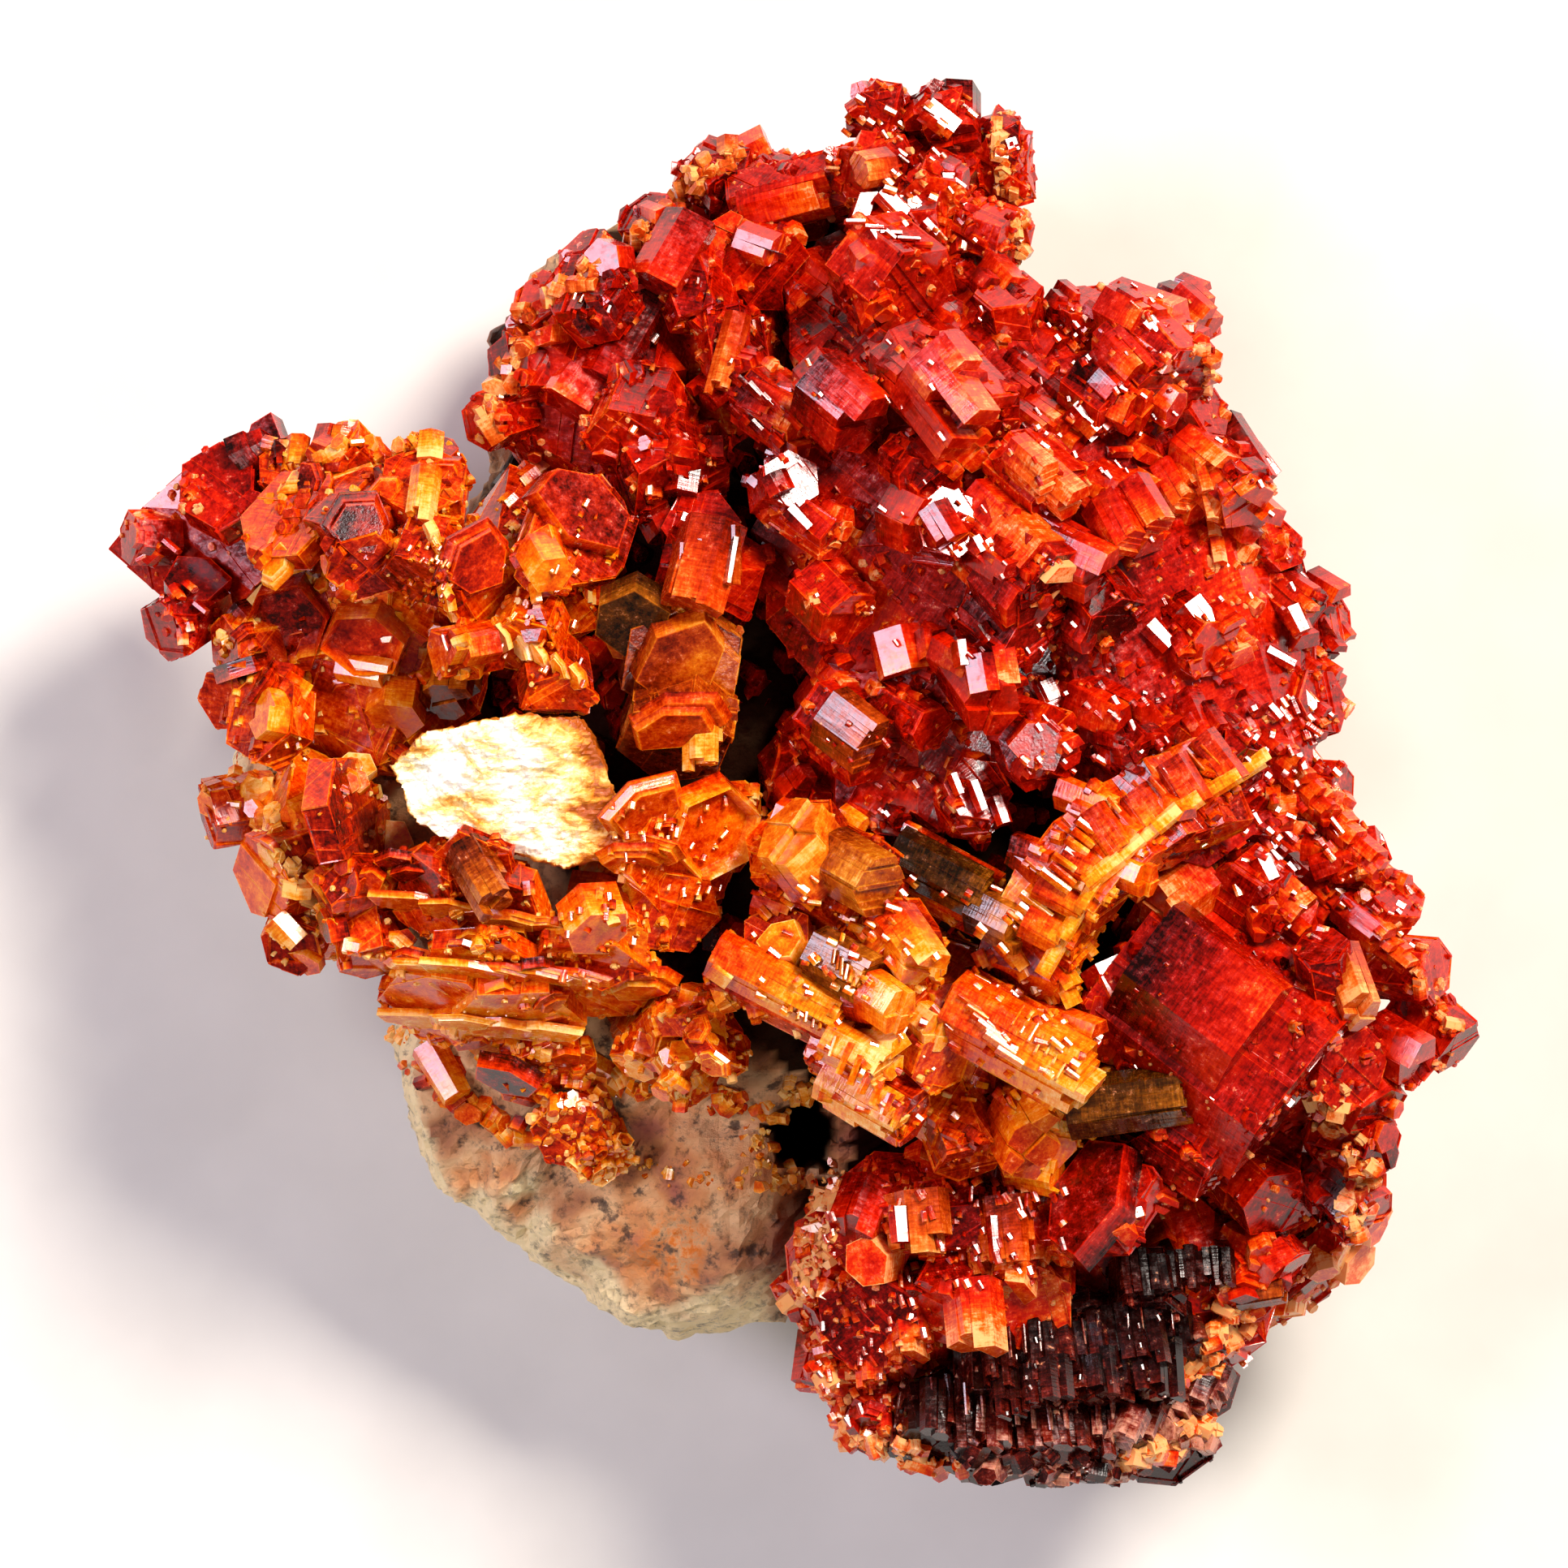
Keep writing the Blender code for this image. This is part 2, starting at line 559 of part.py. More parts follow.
def left_edge():
    return [
        lump(-14.7, -2.2, 10.0, 2.6, 3.7, 3.5, seed=87),
        crystal(-17.4, -0.8, -1.4, 1.15, 2.2, 78.0, 190.0, 10.0),
        crystal(-14.2, -0.9, 0.1, 1.9, 0.9, 70.0, 10.0, 20.0, 1.15),
        crystal(-16.0, -2.8, 0.3, 1.5, 1.7, 56.0, 200.0, 6.0),
        crystal(-15.6, -4.8, 0.2, 1.05, 1.7, 30.0, 250.0, 0.0),
        crystal(-13.5, -3.5, 0.4, 1.4, 1.2, 50.0, 300.0, 16.0),
        crystal(-13.2, -4.9, 0.3, 1.2, 1.8, 66.0, 280.0, 12.0),
    ]


def lower_plates():
    """Thin plates that lie over each other like slates, with their edges out."""
    return [
        lump(-8.8, -4.4, 9.6, 4.0, 2.6, 2.9, seed=89),
        crystal(-9.8, -2.9, -0.4, 1.7, 1.2, 40.0, 240.0, 10.0, 1.3),
        crystal(-9.4, -4.2, -0.2, 2.2, 1.0, 44.0, 250.0, 4.0, 1.1),
        crystal(-11.4, -3.4, 0.2, 1.6, 0.8, 48.0, 220.0, 20.0),
        crystal(-5.8, -4.9, 0.7, 1.5, 1.7, 36.0, 285.0, 12.0),
        crystal(-6.2, -6.0, 0.4, 2.3, 0.7, 62.0, 268.0, 8.0, 1.2),
        crystal(-9.2, -6.2, 0.4, 2.4, 0.7, 60.0, 262.0, 24.0, 1.25),
        crystal(-10.8, -6.9, 0.3, 2.2, 0.8, 64.0, 255.0, 14.0, 1.2),
        crystal(-8.6, -7.4, 0.2, 2.3, 0.8, 66.0, 272.0, 0.0, 1.3),
        crystal(-7.6, -9.1, -0.1, 1.7, 0.7, 58.0, 285.0, 16.0, 1.2),
        crystal(-3.4, -2.2, 0.6, 2.0, 1.0, 42.0, 330.0, 12.0, 1.15),
        crystal(-2.0, -1.4, 0.2, 1.6, 1.0, 46.0, 320.0, 4.0),
        crystal(-3.6, -3.8, 0.4, 1.5, 1.5, 30.0, 300.0, 18.0),
        lump(-4.4, -3.4, 12.2, 2.2, 2.0, 2.6, seed=91, points=16),
    ]


def rosette():
    """A tuft of small blades beside the hole."""
    made = [lump(-3.4, -7.9, 11.6, 2.3, 1.7, 1.9, seed=93, points=16)]
    blades = 5
    for i in range(blades):
        turn = 360.0 * i / blades
        made.append(crystal(
            -3.3 + 1.15 * math.cos(math.radians(turn)),
            -8.2 + 1.0 * math.sin(math.radians(turn)),
            0.6, 1.3, 0.7, 62.0 + 8.0 * (i % 2), turn + 35.0, 20.0 * i,
        ))
    return made


def flank_crystals():
    return [
        crystal(-6.7, -10.9, 0.2, 1.3, 1.6, 35.0, 250.0, 10.0),
        crystal(-5.9, -11.6, 0.0, 1.0, 1.4, 50.0, 290.0, 26.0),
        crystal(-7.6, -10.2, -0.2, 1.2, 1.2, 60.0, 220.0, 0.0),
    ]


def lower_bowl():
    return [
        lump(4.2, -15.6, 9.6, 4.4, 4.4, 3.1, seed=95),
        lump(11.6, -15.4, 8.0, 5.4, 4.2, 3.0, seed=97),
        crystal(2.8, -14.2, 0.6, 1.5, 1.8, 30.0, 270.0, 10.0),
        crystal(5.0, -13.9, 0.6, 1.3, 3.0, 80.0, 5.0, 14.0),
        crystal(7.0, -13.9, 0.7, 1.2, 2.6, 60.0, 85.0, 0.0),
        crystal(9.7, -12.9, 0.9, 2.4, 1.2, 38.0, 130.0, 20.0, 1.15),
        crystal(5.4, -16.2, 0.5, 1.4, 2.2, 50.0, 240.0, 22.0),
        crystal(3.0, -17.0, 0.3, 1.9, 1.6, 30.0, 230.0, 12.0),
        crystal(7.6, -16.4, 0.2, 1.6, 1.8, 30.0, 300.0, 4.0),
        crystal(14.6, -15.8, -0.6, 1.3, 1.8, 44.0, 310.0, 16.0),
        crystal(1.4, -15.2, 0.3, 1.2, 1.6, 50.0, 180.0, 8.0),
    ] + rim(
        [(16.2, -15.0), (14.2, -17.3), (0.2, -16.6), (1.2, -18.9), (2.8, -21.0)],
        (7.0, -13.0), 1.0, seed=59,
    )


def row_of_posts(start, end, bow, posts, radius, height, seed):
    """Prisms side by side from start to end, bowed outwards, leaning away from the druse."""
    luck = random.Random(seed)
    made = []
    for i in range(posts):
        t = i / (posts - 1)
        x = start[0] + (end[0] - start[0]) * t
        y = start[1] + (end[1] - start[1]) * t - bow * math.sin(math.pi * t)
        made.append(crystal(
            x, y, luck.uniform(-0.5, 0.1), radius * luck.uniform(0.85, 1.15), height,
            luck.uniform(52.0, 64.0), 272.0 + 16.0 * t, 17.0 * i,
        ))
    return made


def dark_barrel():
    """Nearly black crystals in rows, their ribbed prism faces out."""
    return (
        [lump(8.4, -18.0, 9.6, 5.0, 2.4, 2.2, seed=99)]
        + row_of_posts((6.6, -18.6), (12.8, -17.6), 0.5, 5, 1.25, 2.6, seed=101)
        + row_of_posts((4.6, -20.2), (10.4, -20.6), 0.4, 4, 1.25, 2.6, seed=102)
        + row_of_posts((11.6, -16.2), (15.2, -15.6), 0.2, 2, 1.2, 2.0, seed=103)
        + [
            crystal(12.2, -20.9, -0.5, 1.5, 1.9, 52.0, 300.0, 10.0),
            crystal(13.2, -19.2, -0.3, 1.2, 1.6, 50.0, 330.0, 20.0),
        ]
    )


# ---- putting the specimen together ----

RED = (0.42, 0.018, 0.006)
ORANGE = (0.62, 0.11, 0.012)
AMBER = (0.50, 0.15, 0.02)
BLACK_RED = (0.06, 0.012, 0.008)
TAN = (0.56, 0.34, 0.20)
CREAM = (0.83, 0.74, 0.52)


def main():
    for thing in list(bpy.data.objects):
        bpy.data.objects.remove(thing)
    placed = []
    make("host_rock", rock_members(), placed, TAN, 0.85, rock_cutters())
    make("pale_chip", pale_chip(), placed, CREAM, 0.9)
    make("notched_plate", notched_plate(), placed, AMBER, 0.2)
    make("shiny_prism", shiny_prism(), placed, RED, 0.15)
    make("middle_cluster", middle_cluster(), placed, ORANGE, 0.2, [hole])
    make("ridge_blade", ridge_blade(), placed, ORANGE, 0.2)
    make("red_slab", red_slab(), placed, RED, 0.2)
    make("right_druse", right_druse(), placed, RED, 0.2)
    make("upper_left_wall", upper_left_wall(), placed, RED, 0.2)
    make("top_knob", top_knob(), placed, RED, 0.2)
    make("left_blades", left_blades(), placed, ORANGE, 0.25)
    make("left_lobe", left_lobe(), placed, RED, 0.25)
    make("left_edge", left_edge(), placed, ORANGE, 0.25)
    make("lower_plates", lower_plates(), placed, ORANGE, 0.25)
    make("rosette", rosette(), placed, ORANGE, 0.25)
    make("flank_crystals", flank_crystals(), placed, ORANGE, 0.25)
    make("lower_bowl", lower_bowl(), placed, RED, 0.2, [hole])
    make("dark_barrel", dark_barrel(), placed, BLACK_RED, 0.2)
    make("right_lobes", right_lobes(), placed, RED, 0.25)


main()
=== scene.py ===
"""Vanadinite on matrix: the looks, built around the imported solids."""

import math
import random

import bmesh
import bpy
import numpy as np
from mathutils import Matrix, Vector, noise
from mathutils.bvhtree import BVHTree


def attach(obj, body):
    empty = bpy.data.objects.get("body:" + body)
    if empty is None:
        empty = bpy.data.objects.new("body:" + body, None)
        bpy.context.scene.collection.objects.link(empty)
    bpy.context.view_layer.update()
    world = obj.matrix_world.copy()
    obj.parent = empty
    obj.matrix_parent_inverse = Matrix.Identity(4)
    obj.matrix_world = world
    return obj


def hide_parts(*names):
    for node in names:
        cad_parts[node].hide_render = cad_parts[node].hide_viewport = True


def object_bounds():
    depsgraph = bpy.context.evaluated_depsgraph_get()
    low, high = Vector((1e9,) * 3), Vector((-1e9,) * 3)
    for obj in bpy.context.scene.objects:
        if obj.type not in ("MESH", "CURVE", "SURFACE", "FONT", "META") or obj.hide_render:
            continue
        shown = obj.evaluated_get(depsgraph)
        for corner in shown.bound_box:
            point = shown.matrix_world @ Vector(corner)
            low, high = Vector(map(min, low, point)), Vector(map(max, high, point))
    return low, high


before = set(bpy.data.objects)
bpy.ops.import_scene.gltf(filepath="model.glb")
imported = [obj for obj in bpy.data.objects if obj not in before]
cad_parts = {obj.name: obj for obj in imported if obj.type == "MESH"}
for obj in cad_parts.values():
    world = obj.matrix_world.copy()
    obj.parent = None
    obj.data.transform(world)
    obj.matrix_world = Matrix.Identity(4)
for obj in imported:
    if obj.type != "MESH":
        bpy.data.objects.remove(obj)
cad_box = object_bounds()
MM = 0.001


# ---- Host rock ----
# A lump of dolomitic limestone stained pink and tan by iron, with grains of dark ore in it. It
# was broken off by hand, so it has a rough, pitted surface and one flat that it rests on.

ROCK_GRAIN = 0.32 * MM  # how finely its surface is modelled
ROCK_SWELL, SIDE_SWELL, ROCK_LUMP, ROCK_PIT = 0.30 * MM, 0.25 * MM, 0.16 * MM, 0.10 * MM
FLAT_KEEPS = 0.5 * MM  # no roughness this close to the flat
PATCHES, GRAINS, ORE = 3.2 * MM, 0.45 * MM, 0.9 * MM  # widths of its colours, grains and ore
HOLE_AT, HOLE_WIDE, HOLE_DEEP = Vector((0.6, -11.3)) * MM, 1.25 * MM, 3.4 * MM
# The rock near the crystals is painted dark, as painted shade for the gaps under and between them.
SHADE_REACH = 1.5 * MM  # how far from a crystal the rock is still dark
FLANK_FROM = -9.0  # x + y, in mm, where the bare flank starts
ORANGE_AT = Vector((-3.8, -15.0))  # middle of the rusty patch, in mm
BULGE_AT, BULGE = Vector((-7.2, -13.4)) * MM, Vector((-1.1, -0.95)) * MM  # fills a dip in its side


def linear(hex_colour):
    """An sRGB hex colour as linear RGBA."""
    shares = [int(hex_colour[i : i + 2], 16) / 255.0 for i in (1, 3, 5)]
    return (*[c / 12.92 if c <= 0.04045 else ((c + 0.055) / 1.055) ** 2.4 for c in shares], 1.0)


def add_node(tree, kind, settings=None, **inputs):
    """Adds a node, sets its properties, and sets or links its inputs (names with _ for spaces)."""
    made = tree.nodes.new("ShaderNode" + kind)
    for key, value in (settings or {}).items():
        setattr(made, key, value)
    for key, value in inputs.items():
        socket = made.inputs[int(key[1:])] if key[0] == "_" else made.inputs[key.replace("_", " ")]
        if isinstance(value, bpy.types.NodeSocket):
            tree.links.new(value, socket)
        else:
            socket.default_value = value
    return made


def painted(tree, name, output="Fac"):
    """What the mesh carries under a name, such as how deeply each point is stained."""
    return add_node(tree, "Attribute", {"attribute_name": name}).outputs[output]


def speckle(tree, place, size, detail, **settings):
    """A noise node whose lumps are about size metres across."""
    return add_node(tree, "TexNoise", Vector=place, Scale=1 / size, Detail=detail, **settings)


def mixed(tree, share, under, over, blend="MIX"):
    """One colour laid over another, by a share from 0 to 1."""
    settings = {"data_type": "RGBA", "blend_type": blend}
    return add_node(tree, "Mix", settings, _0=share, _6=under, _7=over).outputs[2]


def sum_of(tree, value, factor, added):
    """value x factor + added."""
    return add_node(tree, "Math", {"operation": "MULTIPLY_ADD"}, _0=value, _1=factor,
                    _2=added).outputs[0]


def feed(tree, shader, **sources):
    """Links each source to the shader input of that name, with _ for spaces."""
    for name, source in sources.items():
        tree.links.new(source, shader.inputs[name.replace("_", " ")])


def ramp(tree, source, stops):
    """A colour ramp over (position, hex colour) stops."""
    made = add_node(tree, "ValToRGB", Fac=source)
    elements = made.color_ramp.elements
    while len(elements) < len(stops):
        elements.new(1.0)
    for element, (position, colour) in zip(elements, stops):
        element.position = position
        element.color = linear(colour)
    return made.outputs["Color"]


def new_material(name):
    made = bpy.data.materials.new(name)
    made.use_nodes = True
    return made, made.node_tree, made.node_tree.nodes["Principled BSDF"]


def mesh_of(shape, name):
    """The mesh that a bmesh has become."""
    mesh = bpy.data.meshes.new(name)
    shape.to_mesh(mesh)
    shape.free()
    return mesh


def shown(name, data):
    """A new object in the scene with this mesh, lamp or lens."""
    made = bpy.data.objects.new(name, data)
    bpy.context.scene.collection.objects.link(made)
    return made


def merged(node):
    """A bmesh of a CAD node, its loose triangles joined into whole flat faces."""
    shape = bmesh.new()
    shape.from_mesh(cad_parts[node].data)
    bmesh.ops.remove_doubles(shape, verts=shape.verts, dist=0.001 * MM)
    return shape


def as_piece(shape, name, material, nodes):
    """The finished piece: it rides on the specimen and stands for its CAD nodes."""
    mesh = mesh_of(shape, name) if isinstance(shape, bmesh.types.BMesh) else shape
    piece = shown(name, mesh)
    mesh.materials.clear()
    mesh.materials.append(material)
    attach(piece, "root")
    if nodes:
        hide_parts(*nodes)
    return piece


def finely(shape, grain):
    """The same solid as an even, fine mesh that can be roughened."""
    holder = shown("coarse", mesh_of(shape, "coarse"))
    remesh = holder.modifiers.new("grain", "REMESH")
    remesh.mode = "VOXEL"
    remesh.voxel_size = grain
    remesh.adaptivity = 0.0
    graph = bpy.context.evaluated_depsgraph_get()
    fine = bmesh.new()
    fine.from_object(holder, graph)
    bpy.data.objects.remove(holder)
    fine.normal_update()
    return fine


def rock_surface():
    """Tan limestone, painted dark as shade near the crystals, with a paler rind also painted
    lighter.
    """
    material, tree, shader = new_material("pitted_limestone_broken")
    place = add_node(tree, "TexCoord").outputs["Object"]
    painted_shade, rind_and_light, iron = [painted(tree, name) for name in ("painted_shade", "rind_and_light", "iron")]
    broad = speckle(tree, place, PATCHES, 5.0).outputs["Fac"]
    grains = speckle(tree, place, GRAINS, 8.0, Roughness=0.75).outputs["Fac"]
    body = ramp(tree, broad, [
        (0.30, "#96503a"), (0.43, "#d2905c"), (0.52, "#efbd86"), (0.60, "#de9458"),
        (0.72, "#ac5c48"),
    ])
    patchy = ramp(tree, grains, [(0.42, "#000000"), (0.58, "#ffffff")])
    patch = add_node(tree, "Math", {"operation": "MULTIPLY"}, _0=iron, _1=patchy)
    rusty = mixed(tree, patch.outputs[0], body, linear("#dc7414"))
    # A paler rind on the flank's slope: partly its own colour, partly painted light for the light
    # it catches.
    pale = mixed(tree, rind_and_light, rusty, linear("#ffe4ac"))
    ore = speckle(tree, place, ORE, 5.0, Roughness=0.62).outputs["Fac"]
    speck = ramp(tree, ore, [(0.35, "#e0e0e0"), (0.41, "#404040"), (0.47, "#000000")])
    specks = add_node(tree, "Math", {"operation": "MULTIPLY"}, _0=speck,
                      _1=sum_of(tree, rind_and_light, -0.7, 1.0))
    specked = mixed(tree, specks.outputs[0], pale, linear("#4c3830"))
    tint = ramp(tree, grains, [(0.34, "#6c6460"), (0.50, "#ffffff")])
    grainy = mixed(tree, 0.8, specked, tint, "MULTIPLY")
    bump = add_node(tree, "Bump", Height=grains, Strength=0.9, Distance=0.22 * MM)
    # Painted shade: the rock is near black, with less gloss, near the crystals, between them and
    # in the hole.
    feed(
        tree, shader, Base_Color=mixed(tree, painted_shade, grainy, linear("#1c0502")),
        Roughness=ramp(tree, grains, [(0.3, "#8c8c8c"), (0.7, "#e0e0e0")]),
        Specular_IOR_Level=sum_of(tree, painted_shade, -0.48, 0.5), Normal=bump.outputs["Normal"],
    )
    return material


def eased(value, start, end):
    """0 at start, 1 at end, and smooth between them."""
    share = min(1.0, max(0.0, (value - start) / (end - start)))
    return share * share * (3.0 - 2.0 * share)


def rock_relief(spot, side):
    """How far the rock's surface stands out at a spot in mm: swells, lumps and pits."""
    move = ROCK_SWELL * noise.noise(spot * 0.45) + 0.5 * ROCK_SWELL * noise.noise(spot * 1.3)
    move += ROCK_LUMP * noise.noise(spot * 2.6) + ROCK_PIT * noise.noise(spot * 5.0)
    return move + SIDE_SWELL * side * noise.noise(spot * 0.9)


def stain(vert, spot, flank, side):
    """Painted shade on the rock: dark near crystals and in the gaps between them, not on its
    sides.
    """
    near = crystals_near.find_nearest(vert.co)[3]
    dark = eased(near + 0.5 * MM * noise.noise(spot * 0.9), SHADE_REACH, 0.5 * SHADE_REACH)
    dark *= 1.0 - 0.85 * flank
    if spot.x + spot.y > FLANK_FROM and vert.normal.z > -0.2:
        dark = max(dark, 0.98)
    return dark * (1.0 - 0.9 * side)


grown_over = bmesh.new()
for name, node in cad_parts.items():
    if name not in ("host_rock", "flank_crystals", "pale_chip"):
        grown_over.from_mesh(node.data)
crystals_near = BVHTree.FromBMesh(grown_over)
grown_over.free()

rock = finely(merged("host_rock"), ROCK_GRAIN)
painted_shade, rind_and_light, iron = [rock.verts.layers.float.new(name) for name in ("painted_shade", "rind_and_light", "iron")]
for vert in rock.verts:
    spot = vert.co / MM
    flank = eased(spot.x + spot.y, FLANK_FROM, FLANK_FROM - 2.5) * eased(spot.x, 1.2, -0.4)
    side = eased(vert.normal.z, 0.40, 0.05)
    vert[painted_shade] = stain(vert, spot, flank, side)
    # The pale rind is partly painted light: lighter where the flank slopes away.
    vert[rind_and_light] = flank * eased(vert.normal.z + 0.25 * noise.noise(spot * 0.7), 0.72, 0.45)
    orange = (ORANGE_AT - spot.xy).length + 0.9 * noise.noise(spot * 0.8)
    vert[iron] = eased(orange, 1.5, 0.8) * (1.0 - vert[rind_and_light])
    above_flat = min(1.0, max(0.0, vert.co.z / FLAT_KEEPS - 0.2))
    vert.co += vert.normal * (rock_relief(spot, side) * above_flat)
    swollen = eased((vert.co.xy - BULGE_AT).length, 3.2 * MM, 0.4 * MM)
    vert.co.xy += BULGE * swollen * eased(vert.co.z, 0.0, 2.0 * MM)
    plan = Vector((spot.x, spot.y, 3.0))
    ragged = HOLE_WIDE * (1.0 + 0.4 * noise.noise(plan * 0.9) + 0.3 * noise.noise(plan * 2.3))
    away = (vert.co.xy - HOLE_AT).length
    if vert.normal.z > 0.1 and away < 1.3 * ragged:
        vert.co.z -= HOLE_DEEP * eased(away, ragged, 0.7 * ragged)
        # The hole is painted dark inside, as painted shade.
        vert[painted_shade] = eased(away, 1.02 * ragged, 0.92 * ragged)
as_piece(rock, "rock_lump", rock_surface(), ["host_rock"])


# ---- Pale chip ----
# A chip of cream-white calcite rock, older than the crystals around it. It split along its
# layers, so its top is stepped, with yellow iron stain and hairline cracks between the layers.

CHIP_GRAIN = 0.10 * MM
CHIP_LAYER = 0.55 * MM  # between the steps of its split face


def chip_surface():
    """White calcite rock with yellow stain and fine dark cracks, split and left rough."""
    material, tree, shader = new_material("calcite_rock_split")
    place = add_node(tree, "TexCoord").outputs["Object"]
    layers = add_node(tree, "Mapping", Vector=place, Rotation=(0.0, 0.0, math.radians(-8.0)),
                      Scale=(1 / (1.5 * MM), 1 / (0.7 * MM), 1 / (0.9 * MM))).outputs["Vector"]
    bands = speckle(tree, layers, 1.0, 8.0, Roughness=0.72, Distortion=0.4).outputs
    body = ramp(tree, sum_of(tree, painted(tree, "iron"), -0.30, bands["Fac"]), [
        (0.22, "#a84c06"), (0.32, "#e8962a"), (0.42, "#f8d684"), (0.50, "#fdf3d4"),
        (0.64, "#fffdf6"),
    ])
    warped = add_node(tree, "VectorMath", {"operation": "ADD"}, _0=layers, _1=bands["Color"])
    cracks = add_node(tree, "TexVoronoi", {"feature": "DISTANCE_TO_EDGE"},
                      Vector=warped.outputs[0], Scale=1.0)
    line = ramp(tree, cracks.outputs["Distance"], [(0.0, "#b0b0b0"), (0.03, "#000000")])
    bump = add_node(tree, "Bump", Height=bands["Fac"], Strength=0.6, Distance=0.12 * MM)
    feed(
        tree, shader, Base_Color=mixed(tree, line, body, linear("#8a5a2c")),
        Roughness=ramp(tree, bands["Fac"], [(0.3, "#808080"), (0.7, "#c8c8c8")]),
        Normal=bump.outputs["Normal"],
    )
    return material


chip = finely(merged("pale_chip"), CHIP_GRAIN)
iron = chip.verts.layers.float.new("iron")
for vert in chip.verts:
    spot = vert.co / MM
    strata = spot.y * 0.98 + spot.x * 0.2 + 0.9 * noise.noise(spot * 0.8)
    step = (strata / (CHIP_LAYER / MM)) % 1.0
    move = 0.08 * MM * (step - 0.5) + 0.20 * MM * noise.noise(spot * 0.9)
    move += 0.09 * MM * noise.noise(spot * 3.0) + 0.06 * MM * noise.noise(spot * 6.5)
    vert.co += vert.normal * move
    edge = eased(vert.normal.z, 0.75, 0.35) + eased(spot.x + 0.4 * spot.y, -8.2, -5.8)
    vert[iron] = min(1.0, edge + 0.5 * noise.noise(spot * 0.8))
as_piece(chip, "calcite_chip", chip_surface(), ["pale_chip"])


# ---- Right druse ----
# The thickest crust of vanadinite, lead chlorovanadate that grew from water in the rock. Deep
# red prisms lie in parallel growth, pointing down to one side, and end in uneven steps.

ground = bmesh.new()
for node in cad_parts.values():
    ground.from_mesh(node.data)
ground = BVHTree.FromBMesh(ground)

STEP = 0.13 * MM  # height of a growth step on a broad face
LEAST_STEPPED = 0.25 * MM**2  # a smaller face has no steps
EDGE = 0.045 * MM  # width of the bright line along a step
FACE_UP = 30.0  # spin that turns a prism's flat side up
BRIGHT = (20.0, 50.0)  # lean and heading of a face that mirrors the main lamp
SHEEN = (22.0, 168.0)  # and of one that mirrors the weak lamp
ASTRAY = 0.22  # how far, in mm, loose crystals lie from the line of their rim
RIB = 0.45 * MM  # least width of a rib across a broad face
BROAD, SLIVER = 0.035, 0.02  # a face with less area for its perimeter squared is left plain
CLOUD, FLAW = 4.0 * MM, 0.32 * MM  # widths of the tints and the flaws inside the crystals
LAYERS, RIBS = (0.7, 0.7, 0.07), (0.09, 0.09, 1.6)  # growth lines, in mm, along a crystal


def cap_of_six(shape, luck, even=1.0):
    """A six-sided face of about unit radius that looks up, with a glow value on its corners."""
    glow = shape.verts.layers.float.new("glow")
    bmesh.ops.create_circle(shape, cap_ends=True, segments=6, radius=1.0)
    for vert in shape.verts:
        vert.co *= luck.uniform(even, 2.0 - even)
    shape.faces.ensure_lookup_table()
    cap = shape.faces[0]
    cap.normal_update()
    if cap.normal.z < 0:
        cap.normal_flip()
    return cap, glow


def raised(shape, face, rise, size, glow, bright):
    """Grows one layer on a face, and returns the layer's own top face."""
    top = bmesh.ops.extrude_discrete_faces(shape, faces=[face])["faces"][0]
    bmesh.ops.translate(shape, vec=(0, 0, rise), verts=top.verts)
    middle = top.calc_center_median()
    bmesh.ops.scale(shape, vec=size, space=Matrix.Translation(-middle), verts=top.verts)
    for vert in top.verts:
        vert[glow] = bright
    return top


def framed(shape, top, width, depth, glow, inner):
    """An edge strip round a top face, so that light gathers there and not in the middle."""
    bmesh.ops.inset_individual(shape, faces=[top], thickness=width, depth=depth)
    for vert in top.verts:
        vert[glow] = inner


def form_of(shape):
    """The finished form as points, faces and glow values, ready to be repeated."""
    bmesh.ops.remove_doubles(shape, verts=shape.verts, dist=1e-5)
    bmesh.ops.recalc_face_normals(shape, faces=shape.faces)
    glow = shape.verts.layers.float["glow"]
    shape.verts.index_update()
    made = (
        np.array([v.co for v in shape.verts]),
        [[v.index for v in f.verts] for f in shape.faces],
        np.array([v[glow] for v in shape.verts]),
    )
    shape.free()
    return made


def stepped_form(layers, seed, sunk=0.0):
    """A six-sided crystal whose layers stop short of each other, with a hollow end if sunk."""
    luck = random.Random(seed)
    shape = bmesh.new()
    top, glow = cap_of_six(shape, luck, 0.86)
    top.copy().normal_flip()
    for layer in range(layers):
        wide = luck.uniform(0.86, 1.02)
        rise = luck.uniform(0.6, 1.4) / layers
        top = raised(shape, top, rise, (wide, wide, 1), glow, 0.5 + 0.5 * (layer + 1) / layers)
        last = layer == layers - 1
        framed(shape, top, 0.18 if sunk and last else 0.05, -sunk if last else 0.0, glow, 0.3)
        if not last:
            slip = (luck.uniform(-0.10, 0.10), luck.uniform(-0.10, 0.10), 0)
            bmesh.ops.translate(shape, vec=slip, verts=top.verts)
    return form_of(shape)


def ribbed_form(ribs, rows, seed, least=0.6, missing=()):
    """Thin prisms side by side in one crystal, which ended at different heights."""
    luck = random.Random(seed)
    shape = bmesh.new()
    _, glow = cap_of_six(shape, luck, 0.95)
    for count, across in ((ribs, (1, 0, 0)), (rows, (0, 1, 0))):
        for i in range(1, count):
            cut = -0.9 + 1.8 * i / count + luck.uniform(-0.10, 0.10)
            bmesh.ops.bisect_plane(
                shape, geom=shape.verts[:] + shape.edges[:] + shape.faces[:],
                plane_co=[cut * a for a in across], plane_no=across,
            )
    strips = sorted(shape.faces, key=lambda f: f.calc_center_median().x)
    for number, strip in enumerate(strips):
        strip.copy().normal_flip()
        size = (0.97, luck.uniform(0.84, 1.04), 1.0)
        rise = luck.uniform(least, 1.0) * (0.45 if number in missing else 1.0)
        top = raised(shape, strip, rise, size, glow, luck.uniform(0.6, 1.0))
        framed(shape, top, 0.03, 0.0, glow, 0.4)
    return form_of(shape)


